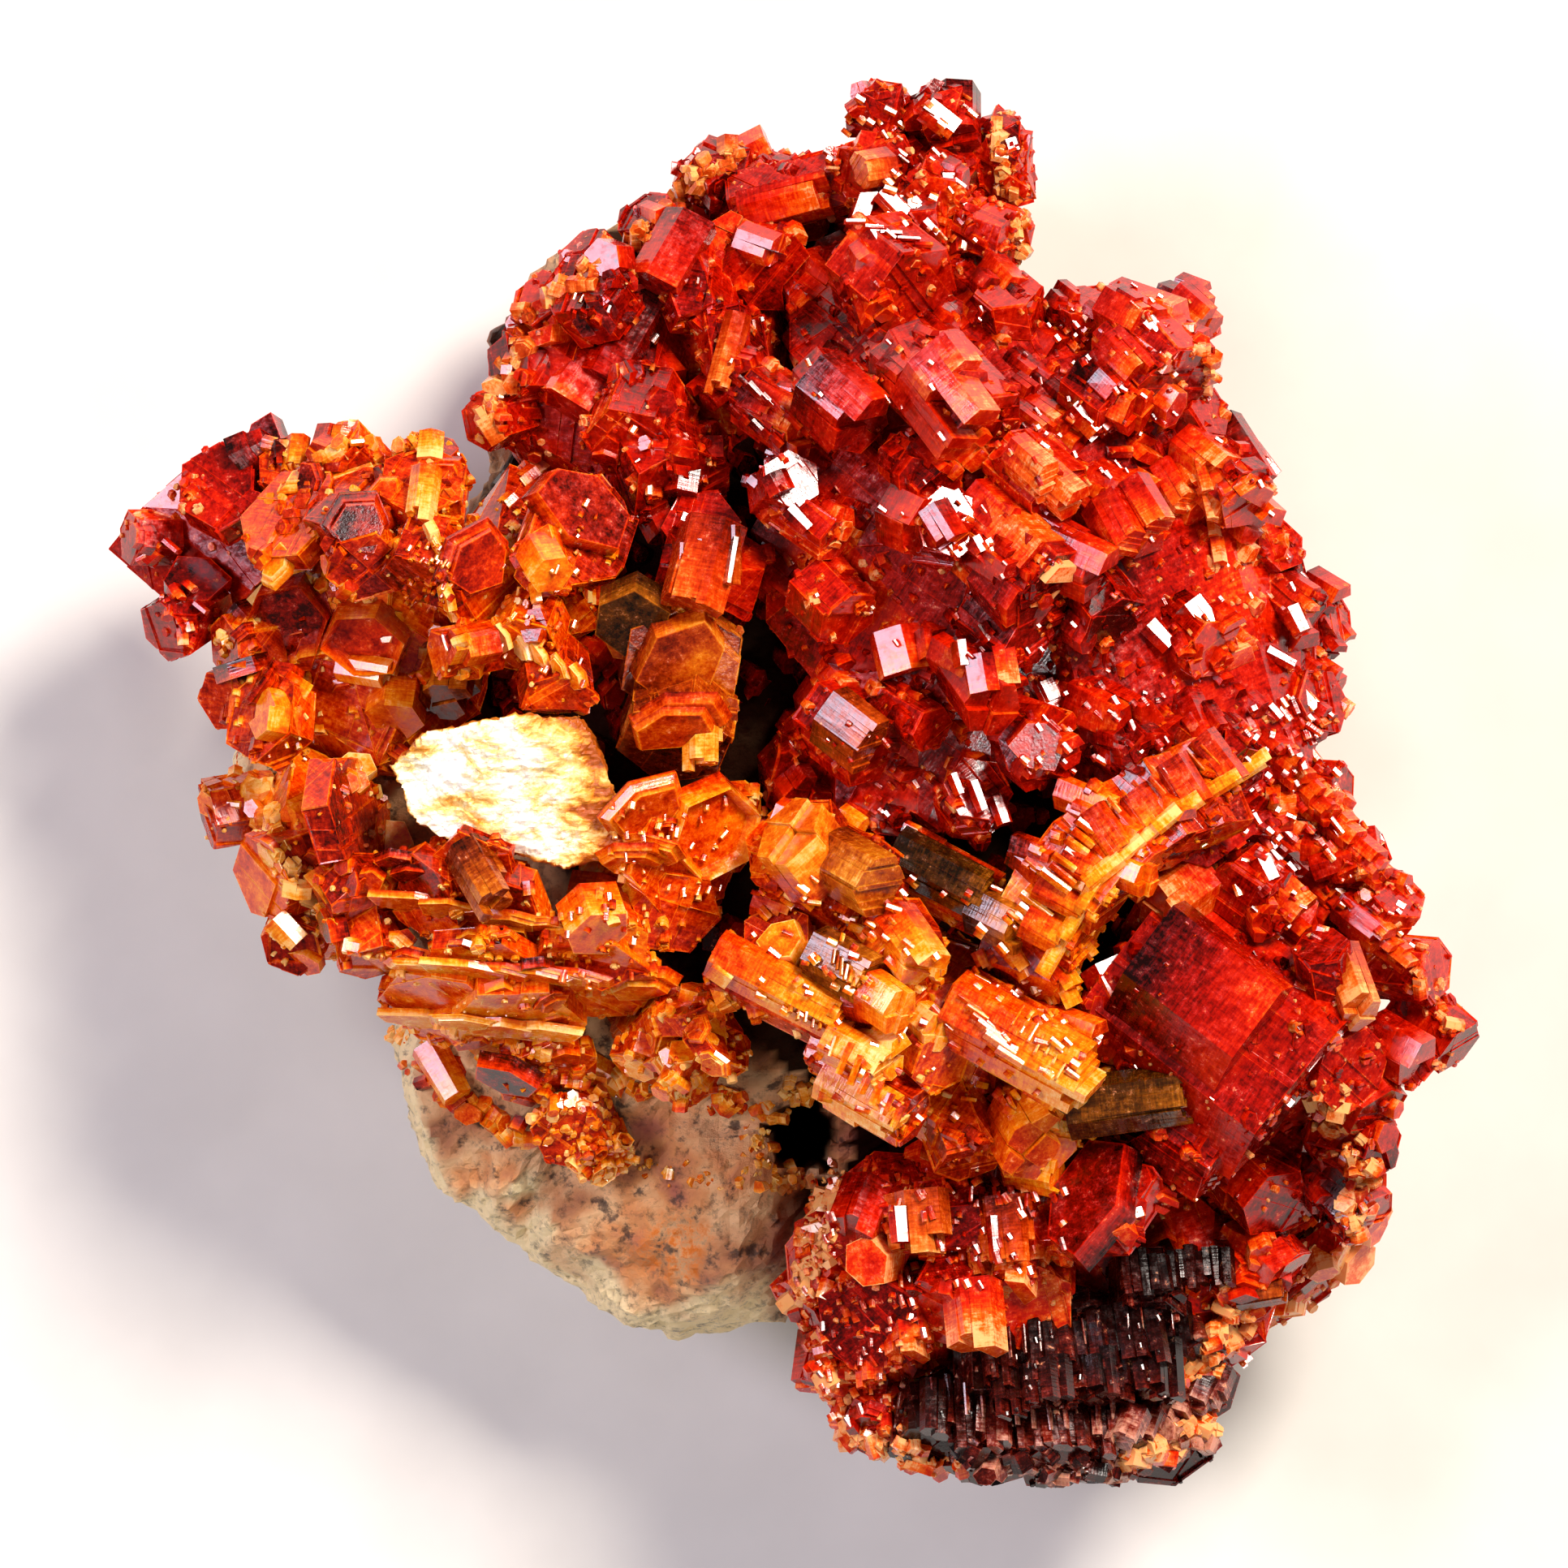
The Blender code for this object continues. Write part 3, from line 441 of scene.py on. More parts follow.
FORMS = {
    "block": [ribbed_form(2, 1, 1), ribbed_form(3, 1, 2), ribbed_form(3, 2, 3),
              ribbed_form(4, 1, 4), ribbed_form(2, 2, 5)],
    "ladder": [ribbed_form(6, 1, 21, 0.82), ribbed_form(7, 1, 22, 0.8)],
    "fingers": [ribbed_form(5, 1, 23, 0.9, missing=(2, 4))],
    "post": [ribbed_form(1, 1, 24), ribbed_form(2, 1, 25), stepped_form(1, 26)],
    "tablet": [stepped_form(1, 6), stepped_form(2, 7), stepped_form(1, 8), stepped_form(3, 9)],
    "box": [stepped_form(1, 10, 0.3), stepped_form(1, 11, 0.45)],
}


def lean_to(lean, heading):
    """The direction that leans from upright by lean degrees towards heading degrees."""
    tip, way = math.radians(lean), math.radians(heading)
    return Vector((math.sin(tip) * math.cos(way), math.sin(tip) * math.sin(way), math.cos(tip)))


def standing(axis, spin):
    """The turn that stands a form along axis: spin is in degrees, or the way a side mirrors."""
    if isinstance(spin, tuple):
        flat = lean_to(*spin)
        axis = (axis - flat * axis.dot(flat)).normalized()
        turn = Matrix((flat, axis.cross(flat), axis)).transposed()
        spin = 0.0
    else:
        turn = axis.to_track_quat("Z", "Y").to_matrix()
    return np.array(turn @ Matrix.Rotation(math.radians(spin), 3, "Z"))


def grown(kind, middle, axis, spin, size, colour, luck):
    """One crystal as arrays: size is its half width, half depth and length in metres.

    colour is its tone, from dark to bright, and its smoke, from clear to brown. A crystal
    that would reach past the solids' own box is moved back into it.
    """
    points, faces, glow = luck.choice(FORMS[kind])
    if isinstance(spin, tuple):
        size = (size[1], size[0], size[2])
    local = (points - (0.0, 0.0, 0.5)) * size
    placed = local @ standing(axis, spin).T + np.array(middle)
    low, high = np.array(cad_box)
    placed += np.maximum(low - placed.min(axis=0), 0.0)
    placed -= np.maximum(placed.max(axis=0) - high, 0.0)
    shift = [luck.uniform(-0.05, 0.05) for _ in range(3)]
    return placed, faces, glow, *colour, local + shift


def joined(parts):
    """The points and the faces of many parts as one list each."""
    faces, first = [], 0
    for points, own, *_ in parts:
        faces += [[first + v for v in face] for face in own]
        first += len(points)
    return np.concatenate([p[0] for p in parts]), faces


def gather(name, parts):
    """One mesh of many crystals: each part is (points, faces, glow, tone, smoke, grain)."""
    mesh = bpy.data.meshes.new(name)
    points, faces = joined(parts)
    mesh.from_pydata(points, [], faces)
    glow = mesh.attributes.new("glow", "FLOAT", "POINT")
    glow.data.foreach_set("value", np.concatenate([p[2] for p in parts]).astype(np.float32))
    for label, column in (("tone", 3), ("smoke", 4)):
        values = [np.broadcast_to(p[column], len(p[1])) for p in parts]
        layer = mesh.attributes.new(label, "FLOAT", "FACE")
        layer.data.foreach_set("value", np.concatenate(values).astype(np.float32))
    grain = mesh.attributes.new("grain", "FLOAT_VECTOR", "POINT")
    grain.data.foreach_set(
        "vector", np.concatenate([p[5] for p in parts]).astype(np.float32).ravel()
    )
    return mesh


def bed_of(node, lean, heading, luck, smoke):
    """The cluster's own solid as a part for gather, its broad faces ribbed and stepped."""
    axis = lean_to(lean, heading)
    shape = merged(node)
    glow = shape.verts.layers.float.new("glow")
    mark = shape.faces.layers.int.new("mark")
    bmesh.ops.dissolve_limit(
        shape, angle_limit=math.radians(1.5), verts=shape.verts, edges=shape.edges
    )
    for vert in shape.verts:
        vert[glow] = luck.uniform(0.3, 0.8)
    broad = [
        f for f in shape.faces
        if f.calc_area() > LEAST_STEPPED and f.calc_area() > BROAD * f.calc_perimeter() ** 2
    ]
    for number, face in enumerate(broad, 1):
        face[mark] = number
        along = face.normal.cross(axis)
        if along.length < 0.4:
            along = face.normal.orthogonal()
        width = math.sqrt(face.calc_area())
        middle = face.calc_center_median()
        ribs = min(5, int(width / RIB))
        for across, count in ((along, ribs), (face.normal.cross(along), ribs // 3)):
            for _ in range(count):
                at = middle + across.normalized() * width * luck.uniform(-0.6, 0.6)
                own = [f for f in shape.faces if f[mark] == number]
                edges = {e for f in own for e in f.edges}
                verts = {v for f in own for v in f.verts}
                bmesh.ops.bisect_plane(
                    shape, geom=own + list(edges) + list(verts), plane_co=at, plane_no=across
                )
    for face in [f for f in shape.faces if f[mark]]:
        area = face.calc_area()
        if area > (2.5 * EDGE) ** 2 and area > SLIVER * face.calc_perimeter() ** 2:
            framed(shape, face, 0.01 * MM, STEP * luck.uniform(-0.8, 0.8), glow, 0.8)
            framed(shape, face, EDGE * luck.uniform(0.5, 1.2), 0.0, glow, 0.3)
    bmesh.ops.triangulate(shape, faces=[f for f in shape.faces if len(f.verts) > 4])
    shape.verts.index_update()
    points = np.array([v.co for v in shape.verts])
    tones = [luck.uniform(0.1, 0.6) for _ in range(len(broad) + 1)]
    turn = np.array(axis.to_track_quat("Z", "Y").to_matrix())
    made = (
        points, [[v.index for v in f.verts] for f in shape.faces],
        np.array([v[glow] for v in shape.verts]),
        np.array([tones[f[mark]] + luck.uniform(-0.08, 0.08) for f in shape.faces]),
        smoke, points @ turn,
    )
    shape.free()
    return made


def spots_on(node, count, luck, facing):
    """Points spread over a node by area, where it doesn't face down: (point, normal)."""
    shape = merged(node)
    bmesh.ops.triangulate(shape, faces=shape.faces)
    shape.normal_update()
    faces = [f for f in shape.faces if f.normal.z > facing]
    made = []
    for face in luck.choices(faces, [f.calc_area() for f in faces], k=count):
        a, b, c = [v.co for v in face.verts]
        u, v = luck.random(), luck.random()
        if u + v > 1.0:
            u, v = 1.0 - u, 1.0 - v
        made.append((a + (b - a) * u + (c - a) * v, face.normal.copy()))
    shape.free()
    return made


def crust(node, piece, material, seed, lean, heading, groups, named=(), rows=(), rims=(),
          glints=(), hold=0.8, wander=10.0, domain=3.5, facing=-0.25, smoke=0.0, mirrors=0.05):
    """A cluster as one piece: its own solid and the crystals that grew over it.

    groups is (kind, count, least, most, length, tones) with half widths in mm. Crystals
    within about domain mm share a direction, which wanders from lean and heading, and hold
    is how closely they keep to it against the ground that they stand on. Ground that faces
    down further than facing has none. mirrors is the share with a side that catches a lamp.
    named is (kind, x, y, lift, lean, heading, spin, half width, half depth, length, tone)
    for the crystals that stand out, and rows is (kind, start, end, count, ...the same from
    lift on). rims is (start, end, count, size, tone) for small loose ones along an edge, and
    glints (low corner, high corner, count, size) for bright small faces. Each of these four
    may end with a smoke value.
    """
    luck = random.Random(seed)
    centres = [point for point, _ in spots_on(node, 60, luck, -1.0)]
    kept = []
    for centre in centres:
        if all((centre - other[0]).length > domain * MM for other in kept):
            own = lean_to(lean + luck.gauss(0, wander), heading + luck.gauss(0, 1.3 * wander))
            kept.append((centre, own, FACE_UP + luck.choice((0.0, 0.0, 16.0, -14.0))))
    parts = [bed_of(node, lean, heading, luck, smoke)]
    for kind, count, least, most, flatness, tones in groups:
        for point, normal in spots_on(node, count, luck, facing):
            _, shared, spin = min(kept, key=lambda d: (d[0] - point).length_squared)
            wobble = Vector([luck.gauss(0, 0.03) for _ in range(3)])
            axis = (normal * (1.0 - hold) + (shared + wobble) * hold).normalized()
            wide = min(most, least * (1.0 - luck.random()) ** -0.6) * MM  # mostly small ones
            deep = wide * luck.uniform(0.6, 1.0)
            long = 2.0 * wide * flatness * luck.uniform(0.7, 1.3)
            upright = abs(normal.dot(axis))
            proud = upright * long * 0.5 + wide * 0.8 * (1 - upright)
            sunk = point - normal * max(0.0, proud - luck.uniform(0.1, 0.4) * MM)
            turn = spin + luck.gauss(0, 2.5)
            if luck.random() < mirrors * (1.6 - wide / (0.7 * MM)):
                turn = luck.choice((BRIGHT, BRIGHT, SHEEN))
            parts.append(grown(
                kind, sunk, axis, turn, (wide, deep, long), (luck.uniform(*tones), smoke), luck
            ))

    def stand(kind, x, y, lift, tip, way, spin, wide, deep, long, tone, smoke=0, under=ground):
        """Places one crystal by its middle, lift above what lies under it, all in mm."""
        hit = under.ray_cast(Vector((x, y, 60.0)) * MM, Vector((0, 0, -1)))[0]
        if hit is not None:
            size = (wide * MM, deep * MM, long * MM)
            middle = hit + Vector((0, 0, lift * MM))
            parts.append(grown(kind, middle, lean_to(tip, way), spin, size, (tone, smoke), luck))

    for facts in named:
        stand(*facts)
    for kind, (x0, y0), (x1, y1), count, lift, tip, way, spin, wide, deep, long, *look in rows:
        for i in range(count):
            t = i / (count - 1)
            stand(kind, x0 + (x1 - x0) * t, y0 + (y1 - y0) * t, lift + luck.uniform(-0.12, 0.12),
                  tip + luck.gauss(0, 1.5), way + luck.gauss(0, 2), spin,
                  wide * luck.uniform(0.7, 1.2), deep, long * luck.uniform(0.75, 1.2),
                  look[0] + luck.uniform(-0.15, 0.15), *look[1:])
    for (x0, y0), (x1, y1), count, size, *look in rims:
        for _ in range(count):
            t, wide = luck.random(), size * (0.35 + luck.random() ** 2)
            stand(luck.choice(("post", "block", "tablet")),
                  x0 + (x1 - x0) * t + luck.gauss(0, ASTRAY),
                  y0 + (y1 - y0) * t + luck.gauss(0, ASTRAY), luck.uniform(-0.1, 0.1),
                  luck.uniform(20, 85), luck.uniform(0, 360), luck.uniform(0, 60), wide,
                  wide * 0.8, wide * luck.uniform(1.0, 3.0),
                  look[0] + luck.uniform(-0.6, 0.25), *look[1:])
    points, faces = joined(parts)
    own = BVHTree.FromPolygons(points.tolist(), faces)
    for (x0, y0), (x1, y1), count, size, *haze in glints:
        for _ in range(count):
            mirror = (BRIGHT[0] + luck.gauss(0, 4), BRIGHT[1] + luck.gauss(0, 10))
            stand("post", luck.uniform(x0, x1), luck.uniform(y0, y1), luck.uniform(-0.05, 0.15),
                  70, heading + luck.gauss(0, 12), mirror, size * luck.uniform(0.4, 1.1),
                  0.12, size * luck.uniform(1.0, 3.6), luck.uniform(0.3, 1.0), *haze, under=own)
    as_piece(gather(node + "_crystals", parts), piece, material, [node])


def vanadinite(name, colours, gloss=0.10, ribbed=0.28):
    """Vanadinite as it grew: an adamantine gloss, deep red in some crystals and brighter in
    others, with painted glow at the edges.
    """
    material, tree, shader = new_material(name)
    place = add_node(tree, "TexCoord").outputs["Object"]
    tone, smoke, glow = [painted(tree, name) for name in ("tone", "smoke", "glow")]
    grain = painted(tree, "grain", "Vector")
    cloud = speckle(tree, place, CLOUD, 3.0)
    flaw = speckle(tree, place, FLAW, 6.0, Roughness=0.75).outputs["Fac"]
    across, along = [
        add_node(tree, "Mapping", Vector=grain, Scale=[1 / (size * MM) for size in sizes])
        for sizes in (LAYERS, RIBS)
    ]
    bands = speckle(tree, across.outputs["Vector"], 1.0, 3.0).outputs["Fac"]
    ribbing = speckle(tree, along.outputs["Vector"], 1.0, 3.0).outputs["Fac"]
    depth = sum_of(tree, tone, 0.42, -0.80)
    # The glow value paints edges and steps brighter: painted light for the light that comes
    # through them.
    for source, share in ((cloud.outputs["Fac"], 0.65), (flaw, 0.75), (bands, 0.35),
                          (ribbing, 0.25), (glow, 0.36)):
        depth = sum_of(tree, source, share, depth)
    colour = mixed(tree, smoke, ramp(tree, depth, colours), ramp(tree, depth, SMOKY))
    # Pale flecks of flaws in the crystal, painted bright so that they also stand for small glints.
    fleck_and_glint = ramp(tree, flaw, [(0.64, "#000000"), (0.70, "#ffffff")])
    worn = ramp(tree, flaw, [(0.45, "#101010"), (0.68, "#909090")])
    lines = add_node(tree, "Math", {"operation": "ADD"}, _0=bands, _1=ribbing)
    bump = add_node(tree, "Bump", Height=lines.outputs[0], Strength=ribbed, Distance=0.02 * MM)
    feed(
        tree, shader, Base_Color=mixed(tree, fleck_and_glint, colour, linear("#f29a68")),
        Roughness=add_node(tree, "Math", {"operation": "ADD"}, _0=worn, _1=gloss).outputs[0],
        Normal=bump.outputs["Normal"],
    )
    shader.inputs["IOR"].default_value = 1.5
    shader.inputs["Subsurface Weight"].default_value = 0.25
    shader.inputs["Subsurface Radius"].default_value = (1.0, 0.12, 0.02)
    shader.inputs["Subsurface Scale"].default_value = 0.45 * MM
    return material


DEEP_RED = [
    (0.18, "#160100"), (0.34, "#600300"), (0.50, "#a00a00"), (0.66, "#c81e02"), (0.82, "#e85a0a"),
    (0.96, "#f6a464"),
]
SMOKY = [
    (0.20, "#160a02"), (0.38, "#482204"), (0.54, "#824408"), (0.70, "#b46c14"), (0.90, "#e4aa54"),
]
red_parallel = vanadinite("vanadinite_red_parallel_growth", DEEP_RED)
crust("right_druse", "druse_crystals", red_parallel, 11, 58.0, 318.0, [
    ("block", 330, 0.40, 1.1, 1.2, (0.0, 0.8)), ("tablet", 40, 0.30, 0.8, 0.7, (0.0, 0.8)),
    ("block", 700, 0.12, 0.32, 1.1, (0.1, 1.1)), ("post", 900, 0.06, 0.15, 1.4, (0.1, 1.4)),
], named=[
    ("fingers", 5.3, 12.3, 0.3, 64, 306, 30, 1.7, 0.9, 3.0, 0.65),
    ("block", 1.8, 12.1, 0.2, 66, 318, 30, 1.3, 1.0, 2.4, 0.25),
    ("post", -0.1, 9.4, 0.3, 70, 300, BRIGHT, 0.45, 0.4, 1.1, 0.4),
    ("post", 0.5, 8.4, 0.3, 70, 320, BRIGHT, 0.3, 0.3, 1.0, 0.4),
    ("block", 5.1, 8.1, 0.2, 70, 300, SHEEN, 0.6, 0.6, 1.6, 0.5),
    ("ladder", 7.9, 10.0, 0.3, 60, 318, 50, 0.9, 0.6, 1.8, 1.0),
    ("block", 8.8, 9.3, 0.3, 60, 318, 50, 0.8, 0.6, 1.6, 0.8),
    ("block", 6.9, 7.5, 0.3, 58, 316, 30, 1.7, 1.1, 3.4, 0.7),
    ("block", 8.1, 6.7, 0.4, 58, 316, 30, 1.0, 0.8, 1.8, 1.5),
    ("post", 10.9, 10.6, 0.3, 70, 10, BRIGHT, 0.2, 0.4, 1.3, 0.8),
    ("block", 3.75, 4.0, 0.4, 70, 280, SHEEN, 0.95, 0.8, 1.9, 0.7),
    ("post", 4.55, 4.15, 0.55, 70, 280, BRIGHT, 0.28, 0.6, 1.5, 0.5),
    ("block", 5.1, 3.9, 0.3, 30, 318, 30, 0.4, 0.4, 1.0, 0.2),
    ("post", 5.6, 4.0, 0.4, 70, 280, BRIGHT, 0.27, 0.5, 1.0, 0.5),
    ("block", 6.3, 3.3, 0.35, 70, 275, SHEEN, 0.6, 0.6, 1.6, 0.4),
    ("post", 7.15, 3.4, 0.4, 70, 275, SHEEN, 0.36, 0.6, 2.0, 0.9),
    ("block", 8.5, 2.8, 0.3, 70, 300, BRIGHT, 0.45, 0.4, 1.0, 0.6),
    ("ladder", 2.1, 1.7, 0.2, 68, 322, 30, 1.2, 0.8, 1.9, 0.4, 0.5),
    ("tablet", 8.1, 1.3, 0.3, 16, 300, 0, 0.9, 0.9, 1.2, 0.3),
    ("post", 12.0, 4.7, 0.3, 70, 320, BRIGHT, 0.4, 0.35, 1.1, 0.5),
    ("post", 16.4, 5.2, 0.2, 70, 300, BRIGHT, 0.4, 0.35, 1.0, 0.5),
    ("post", 15.9, 4.0, 0.2, 70, 340, BRIGHT, 0.25, 0.3, 1.1, 0.5),
    ("block", 13.1, 15.0, 0.2, 64, 318, 30, 0.9, 0.8, 1.6, 0.6),
], rows=[
    ("post", (-1.4, 12.8), (1.2, 10.9), 9, 0.25, 70, 322, BRIGHT, 0.13, 0.3, 1.0, 0.4),
    ("post", (-1.5, 11.8), (0.2, 10.6), 6, 0.25, 70, 322, BRIGHT, 0.12, 0.3, 0.7, 0.4),
    ("post", (5.5, -0.1), (6.9, -0.9), 3, 0.3, 70, 295, BRIGHT, 0.26, 0.3, 1.1, 0.5),
    ("ladder", (9.6, 7.6), (12.4, 9.4), 4, 0.2, 64, 300, 30, 0.7, 0.6, 2.0, 0.7),
    ("post", (13.4, 9.8), (13.9, 7.2), 4, 0.2, 70, 280, 40, 0.25, 0.3, 1.5, 0.9),
    ("block", (15.6, 1.2), (18.8, -2.6), 9, 0.2, 58, 318, 30, 0.6, 0.5, 1.5, 0.5),
], rims=[
    ((13.0, 15.5), (13.7, 12.4), 24, 0.3, 1.2),
    ((15.9, -0.8), (17.6, -3.0), 40, 0.5, 0.7),
    ((14.2, 10.8), (17.4, 6.0), 30, 0.28, 0.9),
], glints=[
    ((7.5, -1.0), (12.5, 3.6), 80, 0.14), ((14.6, -2.5), (17.8, 2.6), 80, 0.20),
    ((-0.5, -1.5), (5.0, 2.0), 36, 0.12), ((7.5, 9.5), (12.0, 15.5), 50, 0.12),
    ((-1.0, 4.0), (16.0, 16.0), 130, 0.11),
], mirrors=0.06)


# ---- Crevices ----
# Small crystals in the gaps between the clusters, made very dark as painted shade for those gaps.

luck = random.Random(31)
small = []
for point, normal in spots_on("host_rock", 1300, luck, 0.4):
    spot = point / MM
    if spot.x + spot.y > -8.0 and spot.z > 8.0 and (point.xy - HOLE_AT).length > 1.6 * MM:
        axis = (0.6 * normal + lean_to(58, 318)).normalized()
        wide = luck.uniform(0.2, 0.6) * MM
        # Their dark tone is painted shade.
        small.append(grown("post", point, axis, FACE_UP, (wide, 0.8 * wide, 2.6 * wide),
                           (luck.uniform(-0.4, 0.5), 0.0), luck))
as_piece(gather("crevice_crystals_shaded_dark", small), "crevice_crystals_shaded_dark", red_parallel, [])


# ---- Red slab and right lobes ----
# One broad prism that lies on its side, dark red and nearly smooth, and the rind of small
# crystals on the outer edge. The lobes behind it are rounded and pinkish.

RED_CRUST = [
    ("block", 60, 0.32, 0.85, 1.1, (0.0, 0.8)), ("tablet", 30, 0.25, 0.7, 0.6, (0.0, 0.8)),
    ("block", 220, 0.10, 0.26, 1.0, (0.1, 1.1)), ("post", 300, 0.05, 0.14, 1.4, (0.2, 1.5)),
]
red_smooth = vanadinite("vanadinite_red_smooth_face", DEEP_RED, gloss=0.09, ribbed=0.18)
crust("red_slab", "slab_crystals", red_smooth, 12, 78.0, 324.0, RED_CRUST, named=[
    ("post", 14.2, -7.6, 0.1, 82, 322, 30, 2.8, 1.6, 7.0, 0.15),
    ("block", 12.4, -3.5, 0.3, 56, 215, 30, 1.2, 1.1, 2.4, 1.0),
    ("block", 18.1, -6.6, 0.3, 62, 290, 50, 0.9, 0.6, 2.8, 0.9, 0.3),
    ("post", 16.6, -4.7, 0.3, 70, 320, SHEEN, 0.3, 0.4, 0.9, 0.6),
    ("post", 15.4, -2.8, 0.1, 70, 300, BRIGHT, 0.4, 0.4, 1.0, 0.6),
    ("post", 11.9, -5.6, 0.2, 70, 300, SHEEN, 0.4, 0.4, 1.0, 0.6),
    ("ladder", 15.3, -16.3, 0.3, 80, 10, 30, 0.5, 0.5, 1.6, 0.2, 0.6),
    ("block", 19.8, -8.6, 0.1, 66, 330, 30, 1.0, 0.8, 2.6, 0.4),
], rows=[
    ("block", (15.8, -2.2), (19.6, -5.4), 9, 0.1, 66, 320, 30, 0.55, 0.5, 1.5, 0.5),
], rims=[
    ((17.0, -9.4), (18.4, -12.5), 46, 0.34, 1.5, 0.1),
    ((18.6, -12.2), (18.0, -15.6), 46, 0.34, 1.5, 0.1),
    ((18.4, -2.6), (21.4, -8.0), 40, 0.26, 1.2),
], glints=[((11.0, -12.0), (17.0, -4.0), 36, 0.06), ((15.0, -5.0), (20.5, -1.0), 70, 0.15)],
    hold=0.6, wander=14.0)
crust("right_lobes", "lobe_crystals", red_smooth, 13, 60.0, 330.0, [
    ("tablet", 24, 0.4, 0.9, 0.6, (0.9, 1.5)), ("post", 160, 0.08, 0.2, 1.2, (0.9, 1.7)),
], hold=0.5)


# ---- Ridge blade ----
# A curved wall of prisms grown side by side, its worn edge orange where light comes through.

FIRE_ORANGE = [
    (0.18, "#300400"), (0.34, "#8e1000"), (0.48, "#c42a00"), (0.62, "#e25a04"), (0.78, "#f6900e"),
    (0.96, "#fcc070"),
]
orange_edge = vanadinite("vanadinite_orange_plates", FIRE_ORANGE)
crust("ridge_blade", "ridge_plates", orange_edge, 14, 76.0, 318.0, [
    ("block", 26, 0.3, 0.6, 1.6, (0.0, 0.7)), ("block", 90, 0.10, 0.25, 1.2, (0.2, 1.0)),
], rows=[
    ("post", (8.7, -5.2), (9.9, -3.1), 3, 0.25, 88, 60, 30, 0.30, 0.30, 1.7, 1.1),
    ("post", (10.2, -2.7), (12.4, -0.9), 4, 0.25, 88, 39, 30, 0.28, 0.30, 1.8, 1.1),
    ("post", (12.8, -0.7), (14.9, 0.6), 3, 0.25, 88, 32, 30, 0.28, 0.30, 1.7, 1.2),
    ("ladder", (8.3, -4.6), (9.4, -2.6), 3, 0.1, 82, 334, 32, 0.7, 0.5, 1.7, 0.5),
    ("ladder", (10.2, -1.6), (13.8, 0.7), 4, 0.1, 82, 306, 32, 0.8, 0.5, 1.7, 0.4),
    ("post", (7.9, -4.2), (9.9, -1.6), 11, 0.35, 70, 330, BRIGHT, 0.14, 0.3, 1.3, 0.8),
    ("post", (7.0, -5.1), (8.0, -3.9), 6, 0.3, 70, 330, BRIGHT, 0.14, 0.3, 0.9, 0.7),
    ("post", (10.6, -0.8), (14.0, 1.1), 9, 0.35, 70, 318, BRIGHT, 0.05, 0.2, 1.1, 0.8),
])


# ---- Middle cluster ----
# Orange blocks and two long ribbed prisms that lean the same way, the clearest crystals here.

